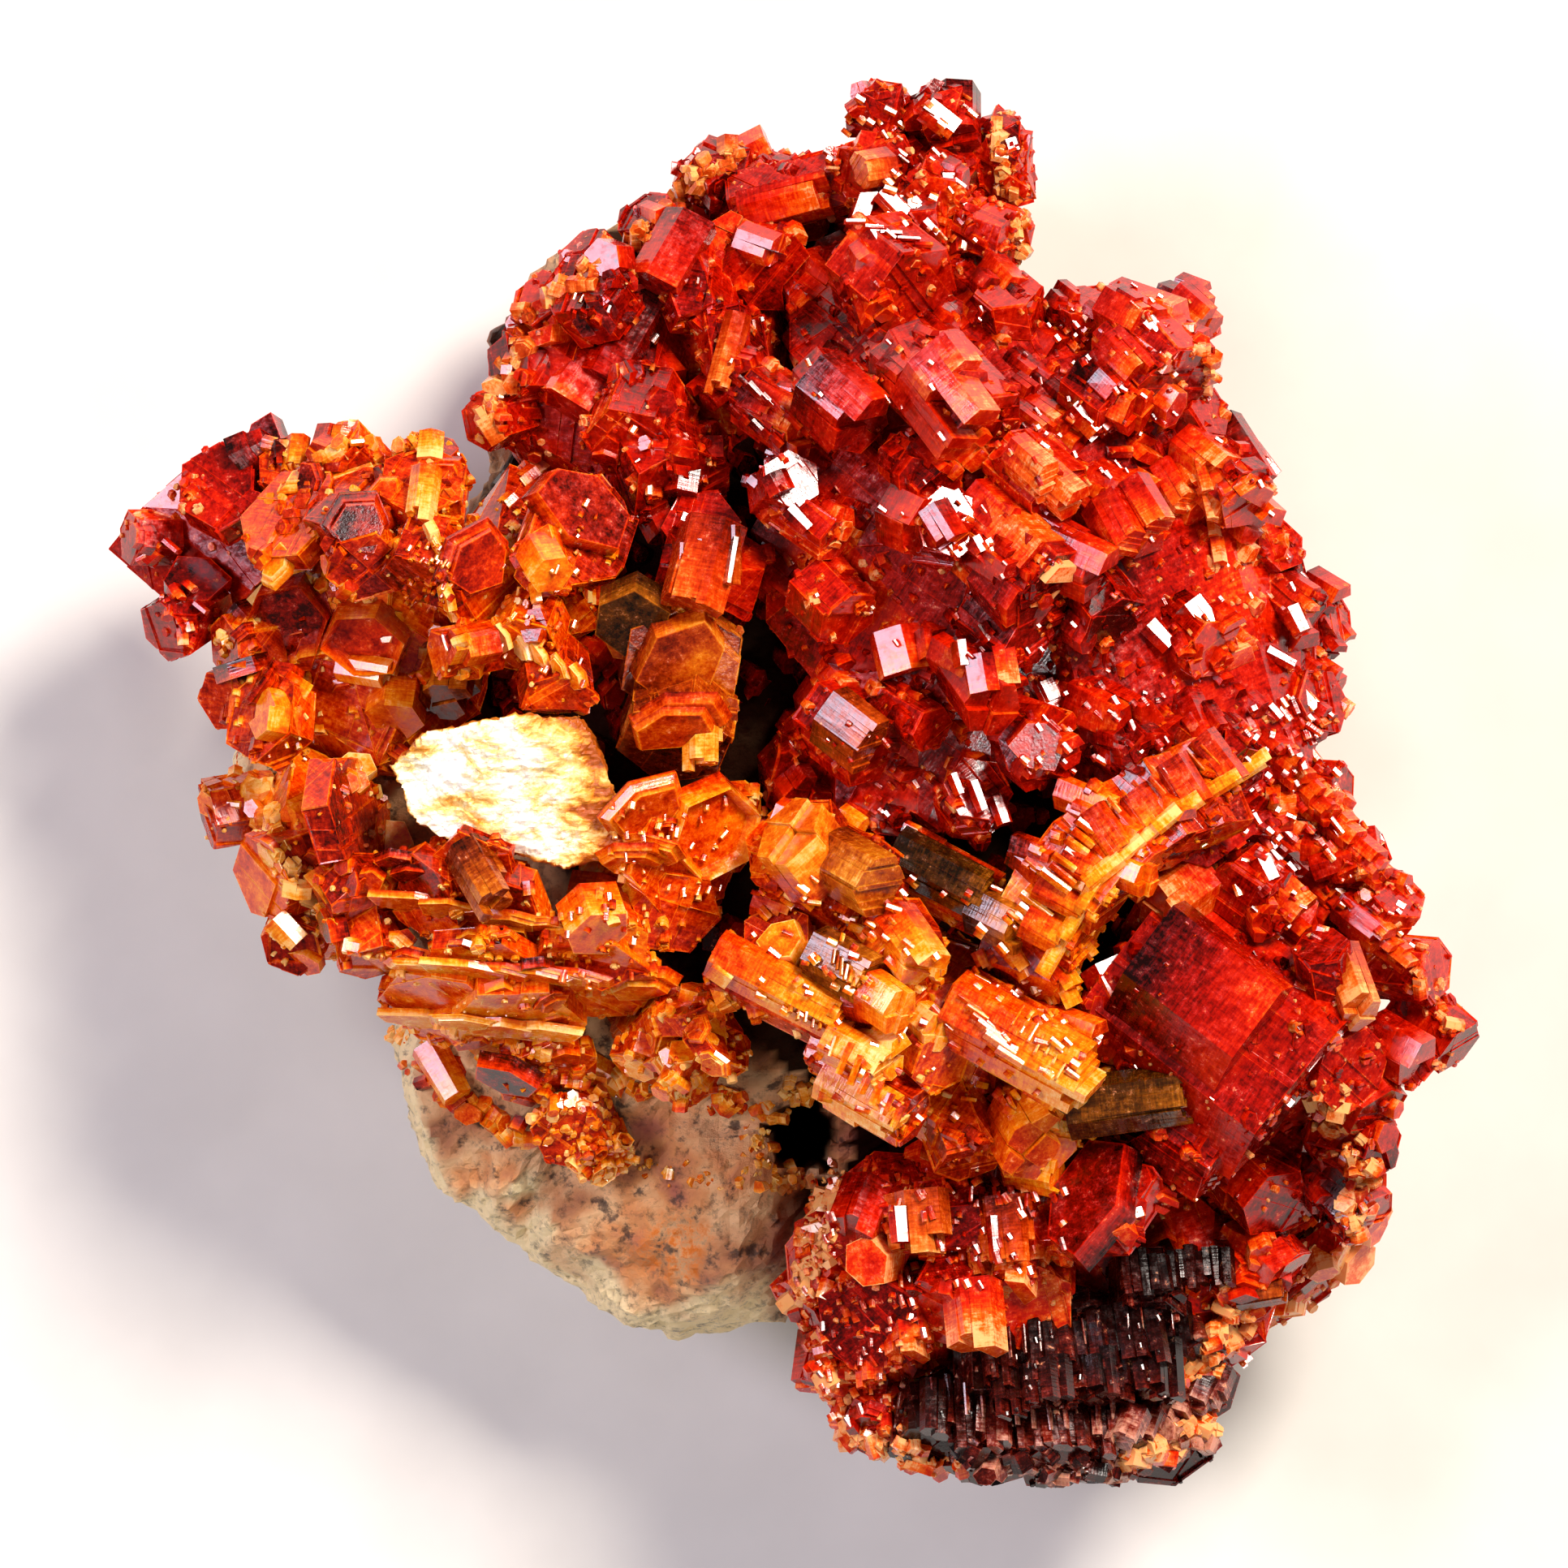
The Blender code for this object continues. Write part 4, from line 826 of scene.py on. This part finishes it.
orange_blocks = vanadinite("vanadinite_orange_ribbed", FIRE_ORANGE)
crust("middle_cluster", "middle_blocks", orange_blocks, 15, 76.0, 330.0, [
    ("block", 60, 0.35, 0.8, 1.4, (0.1, 1.0)), ("block", 170, 0.10, 0.28, 1.2, (0.3, 1.1)),
    ("post", 250, 0.05, 0.14, 1.6, (0.2, 1.5)),
], named=[
    ("ladder", 0.0, -6.5, 0.2, 84, 332, 30, 0.85, 0.75, 5.0, 0.8),
    ("post", -1.8, -6.1, 0.45, 74, 332, BRIGHT, 0.42, 0.6, 1.2, 0.9),
    ("tablet", -0.1, -5.2, 0.2, 24, 120, 0, 1.1, 1.0, 1.6, 0.85),
    ("ladder", 1.9, -5.8, 0.2, 64, 332, 30, 1.0, 0.8, 2.3, 0.3, 0.9),
    ("block", 4.0, -5.2, 0.4, 54, 305, 30, 0.95, 0.75, 2.5, 0.7),
    ("block", 3.3, -7.0, 0.4, 60, 325, 30, 0.85, 0.7, 1.8, 0.7),
    ("ladder", 2.3, -8.6, 0.4, 72, 332, 30, 0.75, 0.7, 2.2, 1.2),
    ("ladder", 2.5, -10.0, 0.3, 74, 330, 30, 0.8, 0.7, 3.0, 1.2),
    ("block", 4.6, -7.7, 0.3, 50, 320, 30, 0.7, 0.6, 1.6, 1.0),
    ("ladder", 7.6, -8.3, 0.3, 80, 331, 30, 1.3, 1.1, 5.4, 0.7),
    ("block", 9.3, -9.4, 0.4, 76, 331, 30, 0.9, 0.8, 1.6, 1.0),
    ("block", 7.7, -11.0, 0.3, 40, 300, 20, 1.4, 1.0, 2.2, 0.45, 0.1),
    ("post", 8.6, -10.9, 0.6, 74, 270, BRIGHT, 0.18, 0.3, 1.0, 0.9),
    ("ladder", 11.0, -10.1, 0.2, 84, 8, 30, 1.1, 0.9, 4.0, 0.1, 1.0),
    ("ladder", 5.1, -2.9, 0.2, 82, 332, 30, 0.9, 0.8, 3.6, 0.1, 1.0),
    ("block", 6.9, -4.3, 0.1, 60, 332, 30, 0.9, 0.8, 2.0, 0.2, 0.9),
    ("block", 0.6, -2.0, 0.3, 58, 128, 30, 1.4, 1.1, 2.6, 0.5, 0.3),
    ("ladder", 2.3, -2.8, 0.3, 46, 330, 30, 1.2, 1.0, 2.6, 0.4, 0.7),
    ("post", 2.2, -1.2, 0.3, 70, 330, SHEEN, 0.4, 0.4, 1.0, 1.0),
], rows=[
    ("post", (6.0, -7.1), (7.2, -8.7), 9, 1.35, 74, 331, BRIGHT, 0.13, 0.3, 1.1, 0.8),
    ("post", (7.4, -7.4), (8.8, -9.1), 7, 1.2, 74, 241, BRIGHT, 0.06, 0.2, 0.8, 1.2),
    ("post", (1.3, -5.2), (2.2, -6.4), 8, 1.05, 74, 262, BRIGHT, 0.07, 0.2, 0.6, 0.6, 0.4),
    ("post", (0.2, -7.2), (1.6, -8.0), 7, 0.8, 74, 262, BRIGHT, 0.07, 0.2, 0.5, 0.6, 0.4),
    ("post", (1.6, -8.4), (3.6, -10.6), 7, 1.1, 74, 240, SHEEN, 0.10, 0.3, 1.0, 1.0),
], glints=[((-1.0, -10.5), (10.0, -3.0), 180, 0.17)], mirrors=0.16)


# ---- Notched plate and shiny prism ----
# Smoky tablets with a notch where two grew together, and a leaning prism with a bright side.

smoky = vanadinite("vanadinite_smoky_tablets", FIRE_ORANGE)
crust("notched_plate", "notched_tablets", smoky, 16, 24.0, 285.0, [
    ("tablet", 8, 0.2, 0.4, 0.5, (0.1, 0.8)),
], named=[
    ("post", -4.9, 5.2, 0.25, 34, 262, 0, 1.35, 1.25, 1.8, 0.0, 1.0),
    ("tablet", -3.2, 4.1, 0.35, 32, 285, 30, 1.75, 1.35, 0.7, 0.3, 0.5),
    ("tablet", -3.4, 1.9, 0.25, 46, 270, 20, 1.9, 1.2, 0.8, 0.3, 0.2),
    ("block", -2.6, 1.6, 0.1, 80, 270, 30, 0.7, 0.5, 2.4, 0.9, 0.3),
], smoke=0.6, mirrors=0.0)
crust("shiny_prism", "bright_prism", red_parallel, 17, 76.0, 255.0, [
    ("block", 6, 0.25, 0.4, 1.2, (0.1, 0.6)),
], named=[
    ("ladder", -2.6, 6.9, 0.3, 74, 255, 50, 1.3, 1.0, 3.0, 0.4, 0.2),
    ("post", -2.5, 8.1, 0.8, 70, 345, BRIGHT, 0.3, 0.4, 1.8, 0.6),
], rows=[
    ("post", (-3.6, 6.5), (-1.7, 7.0), 3, 0.9, 76, 262, BRIGHT, 0.16, 0.3, 2.0, 0.4, 0.4),
    ("post", (-3.2, 6.6), (-1.5, 7.1), 4, 0.9, 76, 262, SHEEN, 0.14, 0.3, 2.0, 0.4, 0.4),
])


# ---- Upper left wall and top knob ----
# Smooth, rounded dark red crystals on the slope, and the knobs and small prisms at the top.

crust("upper_left_wall", "wall_crystals", red_smooth, 18, 60.0, 250.0, RED_CRUST,
      named=[
    ("block", -0.7, 17.2, 0.1, 70, 340, SHEEN, 0.6, 0.6, 1.6, 0.5),
    ("block", -1.8, 13.7, 0.1, 76, 255, 30, 0.45, 0.4, 2.8, 0.8, 0.2),
    ("post", -3.9, 16.4, 0.1, 72, 240, 30, 1.1, 0.8, 4.0, 0.3),
    ("post", -5.2, 14.2, 0.1, 72, 240, 30, 1.0, 0.8, 3.8, 0.2),
    ("post", -6.9, 12.4, 0.1, 70, 236, 30, 1.4, 1.1, 3.4, 0.4),
    ("post", -6.0, 14.8, 0.2, 70, 240, BRIGHT, 0.2, 0.3, 0.6, 0.6),
], rims=[
    ((-9.6, 11.4), (-8.0, 15.2), 40, 0.4, 1.1, 0.3),
    ((-8.0, 15.2), (-3.6, 18.2), 46, 0.34, 1.1, 0.3),
    ((-3.4, 18.6), (-1.6, 20.2), 40, 0.34, 1.1, 0.4),
], glints=[((-8.5, 12.0), (-4.0, 16.0), 8, 0.12, 0.4), ((-3.0, 10.0), (0.5, 17.0), 18, 0.10, 0.4)],
    hold=0.5, wander=18.0, mirrors=0.02)
crust("top_knob", "knob_crystals", red_smooth, 19, 60.0, 330.0, RED_CRUST, named=[
    ("ladder", 2.9, 19.7, 0.3, 60, 190, 30, 0.7, 0.5, 1.2, 0.6, 0.2),
    ("block", 3.5, 18.5, 0.3, 70, 320, BRIGHT, 0.4, 0.4, 1.2, 0.6),
    ("post", 4.8, 17.6, 0.3, 70, 320, BRIGHT, 0.2, 0.3, 1.0, 0.6),
    ("block", 5.0, 21.3, 0.1, 70, 330, BRIGHT, 0.5, 0.5, 1.2, 0.6),
    ("block", 0.4, 18.7, 0.1, 80, 14, 50, 0.9, 0.6, 3.6, 0.5),
], rows=[
    ("post", (0.6, 18.5), (4.6, 17.2), 8, 0.3, 70, 8, BRIGHT, 0.10, 0.2, 0.8, 0.6),
], rims=[
    ((6.6, 21.4), (7.6, 17.4), 50, 0.26, 1.2, 0.3),
], glints=[((1.4, 16.5), (6.2, 22.0), 60, 0.15, 0.3)], hold=0.5, wander=18.0)


# ---- Left plates, left lobe and left edge ----
# Orange plates set on edge and box-like crystals that are hollow at the end. Beyond them is a
# low spur of dark tablets, and small pale crystals sit on the edge below.

orange_upright = vanadinite("vanadinite_orange_upright", FIRE_ORANGE)
crust("left_blades", "upright_plates", orange_upright, 20, 66.0, 240.0, [
    ("tablet", 30, 0.5, 1.0, 0.3, (-0.2, 0.7)), ("block", 50, 0.3, 0.7, 1.2, (-0.3, 0.6)),
    ("block", 260, 0.10, 0.28, 0.9, (0.1, 1.0)), ("post", 260, 0.05, 0.13, 1.5, (0.3, 1.6)),
], named=[
    ("box", -16.0, 5.0, 0.3, 24, 240, 10, 1.4, 1.75, 1.6, 0.0),
    ("box", -13.3, 4.7, 0.3, 22, 250, 0, 1.5, 1.2, 1.8, 0.25),
    ("block", -13.2, 3.6, 0.3, 70, 350, SHEEN, 0.5, 0.5, 2.2, 0.9),
    ("tablet", -13.6, 8.2, 0.3, 16, 280, 20, 1.25, 1.15, 1.2, 0.0),
    ("tablet", -16.2, 7.0, 0.2, 40, 150, 0, 0.9, 0.6, 0.5, 0.9),
    ("tablet", -14.4, 10.0, 0.1, 60, 100, 0, 2.2, 0.8, 0.5, 1.0, 0.2),
    ("block", -11.5, 9.2, 0.3, 70, 262, 30, 0.5, 0.45, 1.9, 0.9, 0.2),
    ("tablet", -9.8, 7.0, 0.2, 34, 320, 0, 1.6, 1.3, 0.8, 0.0),
    ("block", -10.0, 4.4, 0.3, 64, 190, 30, 0.7, 0.6, 1.7, 0.4),
    ("post", -10.4, 4.5, 0.8, 64, 190, SHEEN, 0.2, 0.3, 0.8, 1.2),
    ("tablet", -6.6, 8.8, 0.3, 34, 30, 30, 1.9, 1.3, 0.7, 0.1),
    ("post", -7.6, 7.0, 0.4, 40, 300, 0, 0.8, 0.8, 1.6, 0.55),
    ("post", -7.9, 6.0, 0.4, 70, 280, BRIGHT, 0.2, 0.4, 0.8, 0.8),
    ("block", -10.8, 3.2, 0.2, 50, 262, 30, 1.2, 0.9, 2.0, 0.3, 0.7),
    ("block", -12.4, 2.4, 0.2, 50, 262, 30, 1.0, 0.9, 2.0, 0.6, 0.1),
    ("block", -16.4, 2.2, 0.2, 60, 170, 30, 0.9, 0.7, 1.6, 0.8),
], rows=[
    ("tablet", (-17.6, 5.6), (-15.6, 6.6), 5, 0.2, 66, 130, 0, 0.8, 0.5, 0.25, 1.3),
    ("tablet", (-11.2, 8.0), (-10.6, 5.4), 6, 0.2, 74, 200, 0, 0.5, 0.4, 0.25, 1.2),
    ("tablet", (-9.0, 4.6), (-6.6, 3.4), 5, 0.2, 60, 210, 0, 0.6, 0.4, 0.3, 1.2),
], rims=[
    ((-17.2, 10.6), (-12.6, 10.8), 40, 0.36, 1.2, 0.2),
    ((-12.6, 10.8), (-9.8, 11.0), 30, 0.4, 1.2, 0.2),
    ((-18.0, 4.4), (-15.0, 6.8), 30, 0.30, 1.2), ((-15.0, 6.8), (-12.0, 4.2), 26, 0.28, 1.1),
], glints=[((-12.2, 5.4), (-10.6, 7.6), 60, 0.1), ((-9.0, 3.0), (-6.0, 9.0), 50, 0.1)],
    hold=0.6, wander=24.0, mirrors=0.02)
crust("left_lobe", "spur_tablets", red_smooth, 21, 50.0, 150.0, [
    ("tablet", 10, 0.5, 1.1, 0.5, (0.0, 0.5)), ("post", 120, 0.06, 0.16, 1.2, (0.2, 1.4)),
], rows=[
    ("post", (-19.6, 7.6), (-18.6, 5.6), 4, 0.3, 66, 320, SHEEN, 0.12, 0.3, 0.7, 0.8),
], rims=[
    ((-20.6, 6.4), (-18.8, 9.6), 26, 0.22, 1.1),
    ((-18.8, 4.6), (-20.4, 6.2), 26, 0.22, 1.1),
], hold=0.3, mirrors=0.0)
crust("left_edge", "edge_crystals", orange_upright, 22, 60.0, 200.0, [
    ("tablet", 30, 0.4, 1.0, 0.35, (0.1, 1.1)), ("block", 60, 0.10, 0.3, 1.0, (0.3, 1.1)),
    ("post", 160, 0.05, 0.14, 1.4, (0.4, 1.6)),
], named=[
    ("block", -15.9, -4.7, 0.2, 70, 320, BRIGHT, 0.5, 0.6, 1.1, 0.9),
], rims=[
    ((-17.6, 0.8), (-14.6, -4.6), 60, 0.4, 1.2, 0.3),
], hold=0.5, wander=24.0)


# ---- Lower plates, rosette and flank crystals ----
# Thin plates that lie over each other like slates, a tuft of blades, and a few on the bare rock.

orange_slates = vanadinite("vanadinite_orange_slates", FIRE_ORANGE)
crust("lower_plates", "slate_plates", orange_slates, 23, 68.0, 264.0, [
    ("tablet", 40, 0.5, 1.4, 0.2, (0.0, 0.9)), ("block", 150, 0.10, 0.26, 1.0, (0.2, 1.1)),
    ("post", 260, 0.05, 0.14, 1.5, (0.3, 1.5)),
], named=[
    ("box", -2.3, -1.4, 0.3, 40, 318, 0, 1.7, 1.9, 0.9, 0.6),
    ("tablet", -4.4, -0.9, 0.3, 44, 300, 0, 1.7, 1.2, 0.8, 0.4, 0.2),
    ("post", -6.0, -4.6, 0.4, 50, 290, 0, 1.2, 1.0, 2.2, 0.8),
    ("post", -5.4, -4.4, 0.9, 70, 290, SHEEN, 0.2, 0.4, 0.7, 1.3),
    ("block", -9.6, -3.0, 0.2, 60, 300, 30, 0.8, 0.7, 2.6, 0.4, 0.7),
], rows=[
    ("tablet", (-12.8, -7.4), (-7.8, -7.9), 5, 0.3, 72, 266, 0, 1.5, 0.7, 0.3, 0.8),
    ("tablet", (-12.4, -5.8), (-6.6, -6.2), 6, 0.3, 72, 262, 0, 1.5, 0.7, 0.3, 0.7),
    ("tablet", (-11.8, -3.8), (-7.6, -4.6), 5, 0.2, 68, 262, 0, 1.3, 0.7, 0.3, 0.7, 0.2),
], rims=[
    ((-13.0, -8.0), (-7.4, -8.4), 40, 0.26, 1.0),
], glints=[((-7.5, -6.5), (-4.5, -3.5), 30, 0.14), ((-6.0, -3.5), (-1.5, -0.5), 40, 0.12)],
    mirrors=0.02)
crust("rosette", "tuft_blades", orange_slates, 24, 60.0, 280.0, [
    ("tablet", 50, 0.2, 0.6, 0.25, (0.3, 1.1)), ("post", 140, 0.07, 0.18, 1.8, (0.4, 1.4)),
], hold=0.3, wander=50.0, domain=1.2, glints=[((-5.5, -10.0), (-1.2, -6.2), 20, 0.12)])
crust("flank_crystals", "flank_cluster", orange_slates, 25, 50.0, 250.0, [
    ("box", 10, 0.25, 0.6, 0.6, (0.2, 0.9)), ("post", 160, 0.08, 0.22, 1.6, (0.3, 1.3)),
], named=[
    ("post", -10.9, -9.3, 0.4, 74, 300, SHEEN, 0.6, 0.6, 2.2, 0.9),
    ("tablet", -8.8, -9.3, 0.2, 60, 250, 0, 1.2, 0.8, 0.5, -0.2),
], rims=[
    ((-12.0, -8.8), (-8.4, -11.4), 40, 0.4, 0.7),
    ((-8.8, -9.4), (-5.0, -9.6), 60, 0.40, 0.8), ((-5.0, -9.6), (-0.6, -10.2), 50, 0.30, 0.9),
    ((-0.8, -10.4), (-0.8, -12.6), 40, 0.22, 1.3, 0.4),
    ((-0.6, -12.7), (1.6, -12.7), 40, 0.24, 1.4, 0.3),
    ((-0.6, -10.2), (1.0, -9.8), 24, 0.22, 1.3, 0.3),
    ((-4.6, -12.2), (-0.8, -13.0), 30, 0.16, 1.2, 0.3),
], hold=0.4, wander=30.0)


# ---- Lower bowl and dark barrel ----
# The crust of the bottom lobe, with a deep hollow, and the ribbed, nearly black crystals there.

NEAR_BLACK = [
    (0.20, "#030101"), (0.42, "#160302"), (0.58, "#340704"), (0.74, "#6c180c"), (0.96, "#c08068"),
]
black_ribbed = vanadinite("vanadinite_black_ribbed", NEAR_BLACK, gloss=0.12)
crust("lower_bowl", "bowl_crystals", red_parallel, 26, 58.0, 292.0, [
    ("block", 90, 0.35, 0.9, 1.1, (0.0, 0.8)), ("tablet", 20, 0.25, 0.8, 0.5, (0.0, 0.9)),
    ("block", 280, 0.10, 0.28, 1.0, (0.2, 1.1)), ("post", 420, 0.05, 0.14, 1.4, (0.2, 1.5)),
], named=[
    ("block", 4.3, -14.1, 0.3, 82, 275, 30, 1.2, 0.8, 2.2, 0.8, 0.4),
    ("block", 6.9, -14.4, 0.3, 82, 275, 30, 1.2, 0.8, 2.4, 0.6, 0.3),
    ("post", 3.7, -14.2, 1.0, 74, 275, BRIGHT, 0.36, 0.3, 1.4, 0.6),
    ("post", 6.7, -14.6, 1.25, 74, 275, BRIGHT, 0.22, 0.3, 1.6, 0.6),
    ("post", 8.1, -15.0, 1.2, 74, 275, BRIGHT, 0.3, 0.3, 1.7, 0.6),
    ("tablet", 2.9, -15.2, 0.4, 20, 200, 0, 0.95, 0.8, 1.4, 1.1),
    ("block", 6.1, -17.1, 0.3, 70, 275, 30, 1.0, 0.8, 2.4, 0.8),
    ("tablet", 9.8, -13.4, 0.3, 40, 140, 20, 2.3, 1.4, 0.9, 0.1),
], rows=[
    ("post", (4.2, -13.0), (8.6, -13.4), 6, 0.4, 74, 268, BRIGHT, 0.08, 0.2, 0.6, 0.7),
], rims=[
    ((0.6, -17.0), (2.0, -20.6), 60, 0.34, 1.4),
    ((1.8, -20.6), (5.4, -22.0), 90, 0.34, 1.6, 0.1),
    ((11.0, -21.8), (14.0, -20.4), 70, 0.34, 1.5),
    ((1.6, -12.6), (0.6, -16.6), 110, 0.32, 1.7, 0.2),
    ((12.4, -19.4), (14.4, -17.0), 36, 0.32, 1.4, 0.1),
    ((15.0, -16.6), (13.0, -20.0), 36, 0.30, 1.3, 0.1),
], glints=[
    ((1.0, -20.5), (5.0, -16.5), 90, 0.15, 0.1), ((3.0, -16.0), (9.0, -12.5), 80, 0.15, 0.1),
    ((0.2, -16.4), (1.8, -12.4), 50, 0.10, 0.1),
],
    wander=16.0)
crust("dark_barrel", "barrel_ribs", black_ribbed, 27, 62.0, 280.0, [
    ("block", 50, 0.25, 0.5, 1.6, (0.0, 0.9)), ("block", 120, 0.08, 0.2, 1.6, (0.1, 1.2)),
    ("post", 300, 0.05, 0.12, 2.0, (0.0, 1.3)),
], rows=[
    ("block", (6.6, -18.4), (12.8, -17.6), 14, 0.3, 66, 276, 30, 0.4, 0.35, 2.2, 0.2),
    ("block", (6.9, -19.4), (12.4, -18.8), 12, 0.2, 66, 276, 40, 0.4, 0.35, 2.0, 0.2),
    ("post", (4.7, -20.0), (7.0, -20.8), 8, 0.3, 62, 270, 30, 0.3, 0.4, 2.6, 0.5),
    ("post", (7.6, -20.6), (10.6, -20.8), 12, 0.2, 62, 276, 30, 0.26, 0.35, 1.8, 0.5),
    ("post", (11.0, -15.8), (14.2, -15.6), 12, 0.3, 66, 276, 30, 0.24, 0.3, 1.6, 0.3),
    ("post", (7.2, -17.9), (12.4, -17.2), 12, 0.6, 74, 276, BRIGHT, 0.05, 0.2, 1.0, 0.9),
    ("post", (4.8, -19.6), (10.6, -20.4), 12, 0.5, 74, 272, SHEEN, 0.07, 0.2, 1.4, 0.9),
    ("block", (11.0, -20.6), (13.8, -19.4), 6, 0.2, 60, 250, 30, 0.6, 0.5, 1.6, 0.8),
], rims=[
    ((5.2, -21.4), (10.6, -22.2), 100, 0.36, 0.8),
    ((10.4, -21.9), (13.8, -20.8), 60, 0.36, 1.5),
], glints=[((5.0, -20.5), (12.6, -16.8), 60, 0.07)], facing=-0.7)


# ---- Floor, light and camera ----
# A pale matt table top, three soft lamps, and a long lens that looks straight down.

VIEW_WIDTH = 50.04 * MM  # what the lens takes in across, level with the crystals
CAMERA_OFF = 1000.0 * MM
CRYSTAL_LEVEL = 15.0 * MM
LIT_AT = Vector((0, 0, 10 * MM))  # the point that the lamps face
FLOOR_SIDE = 1200.0 * MM
FIBRES = 6.0 * MM  # width of the card's faint clouds

floor_mesh = bmesh.new()
bmesh.ops.create_grid(floor_mesh, x_segments=8, y_segments=8, size=FLOOR_SIDE / 2)
floor = shown("table_top", mesh_of(floor_mesh, "table_top"))
card, tree, shader = new_material("matt_card")
fibres = speckle(tree, add_node(tree, "TexCoord").outputs["Object"], FIBRES, 6.0)
shade = ramp(tree, fibres.outputs["Fac"], [(0.3, "#cdc9c2"), (0.7, "#d6d2cb")])
feed(tree, shader, Base_Color=shade)
shader.inputs["Roughness"].default_value = 0.9
floor.data.materials.append(card)


def lamp(name, at, side, watts, colour):
    """A square soft box that faces the specimen."""
    data = bpy.data.lights.new(name, "AREA")
    data.size = side
    data.energy = watts
    data.color = linear(colour)[:3]
    made = shown(name, data)
    made.location = at
    made.rotation_euler = (LIT_AT - Vector(at)).to_track_quat("-Z", "Y").to_euler()


lamp("key", (0.20, 0.24, 0.36), 0.14, 4.1, "#fff6ec")
lamp("fill", (-0.34, 0.07, 0.34), 0.18, 1.8, "#f0e8ff")
lamp("glint", (0.10, -0.26, 0.40), 0.10, 0.6, "#ffffff")

sky = bpy.data.worlds.new("studio")
sky.use_nodes = True
sky.node_tree.nodes["Background"].inputs["Color"].default_value = linear("#e9ebf0")
sky.node_tree.nodes["Background"].inputs["Strength"].default_value = 0.12
bpy.context.scene.world = sky
bpy.context.scene.view_settings.view_transform = "Standard"

lens = bpy.data.cameras.new("long_lens")
lens.lens = lens.sensor_width * CAMERA_OFF / VIEW_WIDTH
lens.clip_end = 10.0
camera = shown("long_lens", lens)
camera.location = (0.0, 0.0, CRYSTAL_LEVEL + CAMERA_OFF)
bpy.context.scene.camera = camera
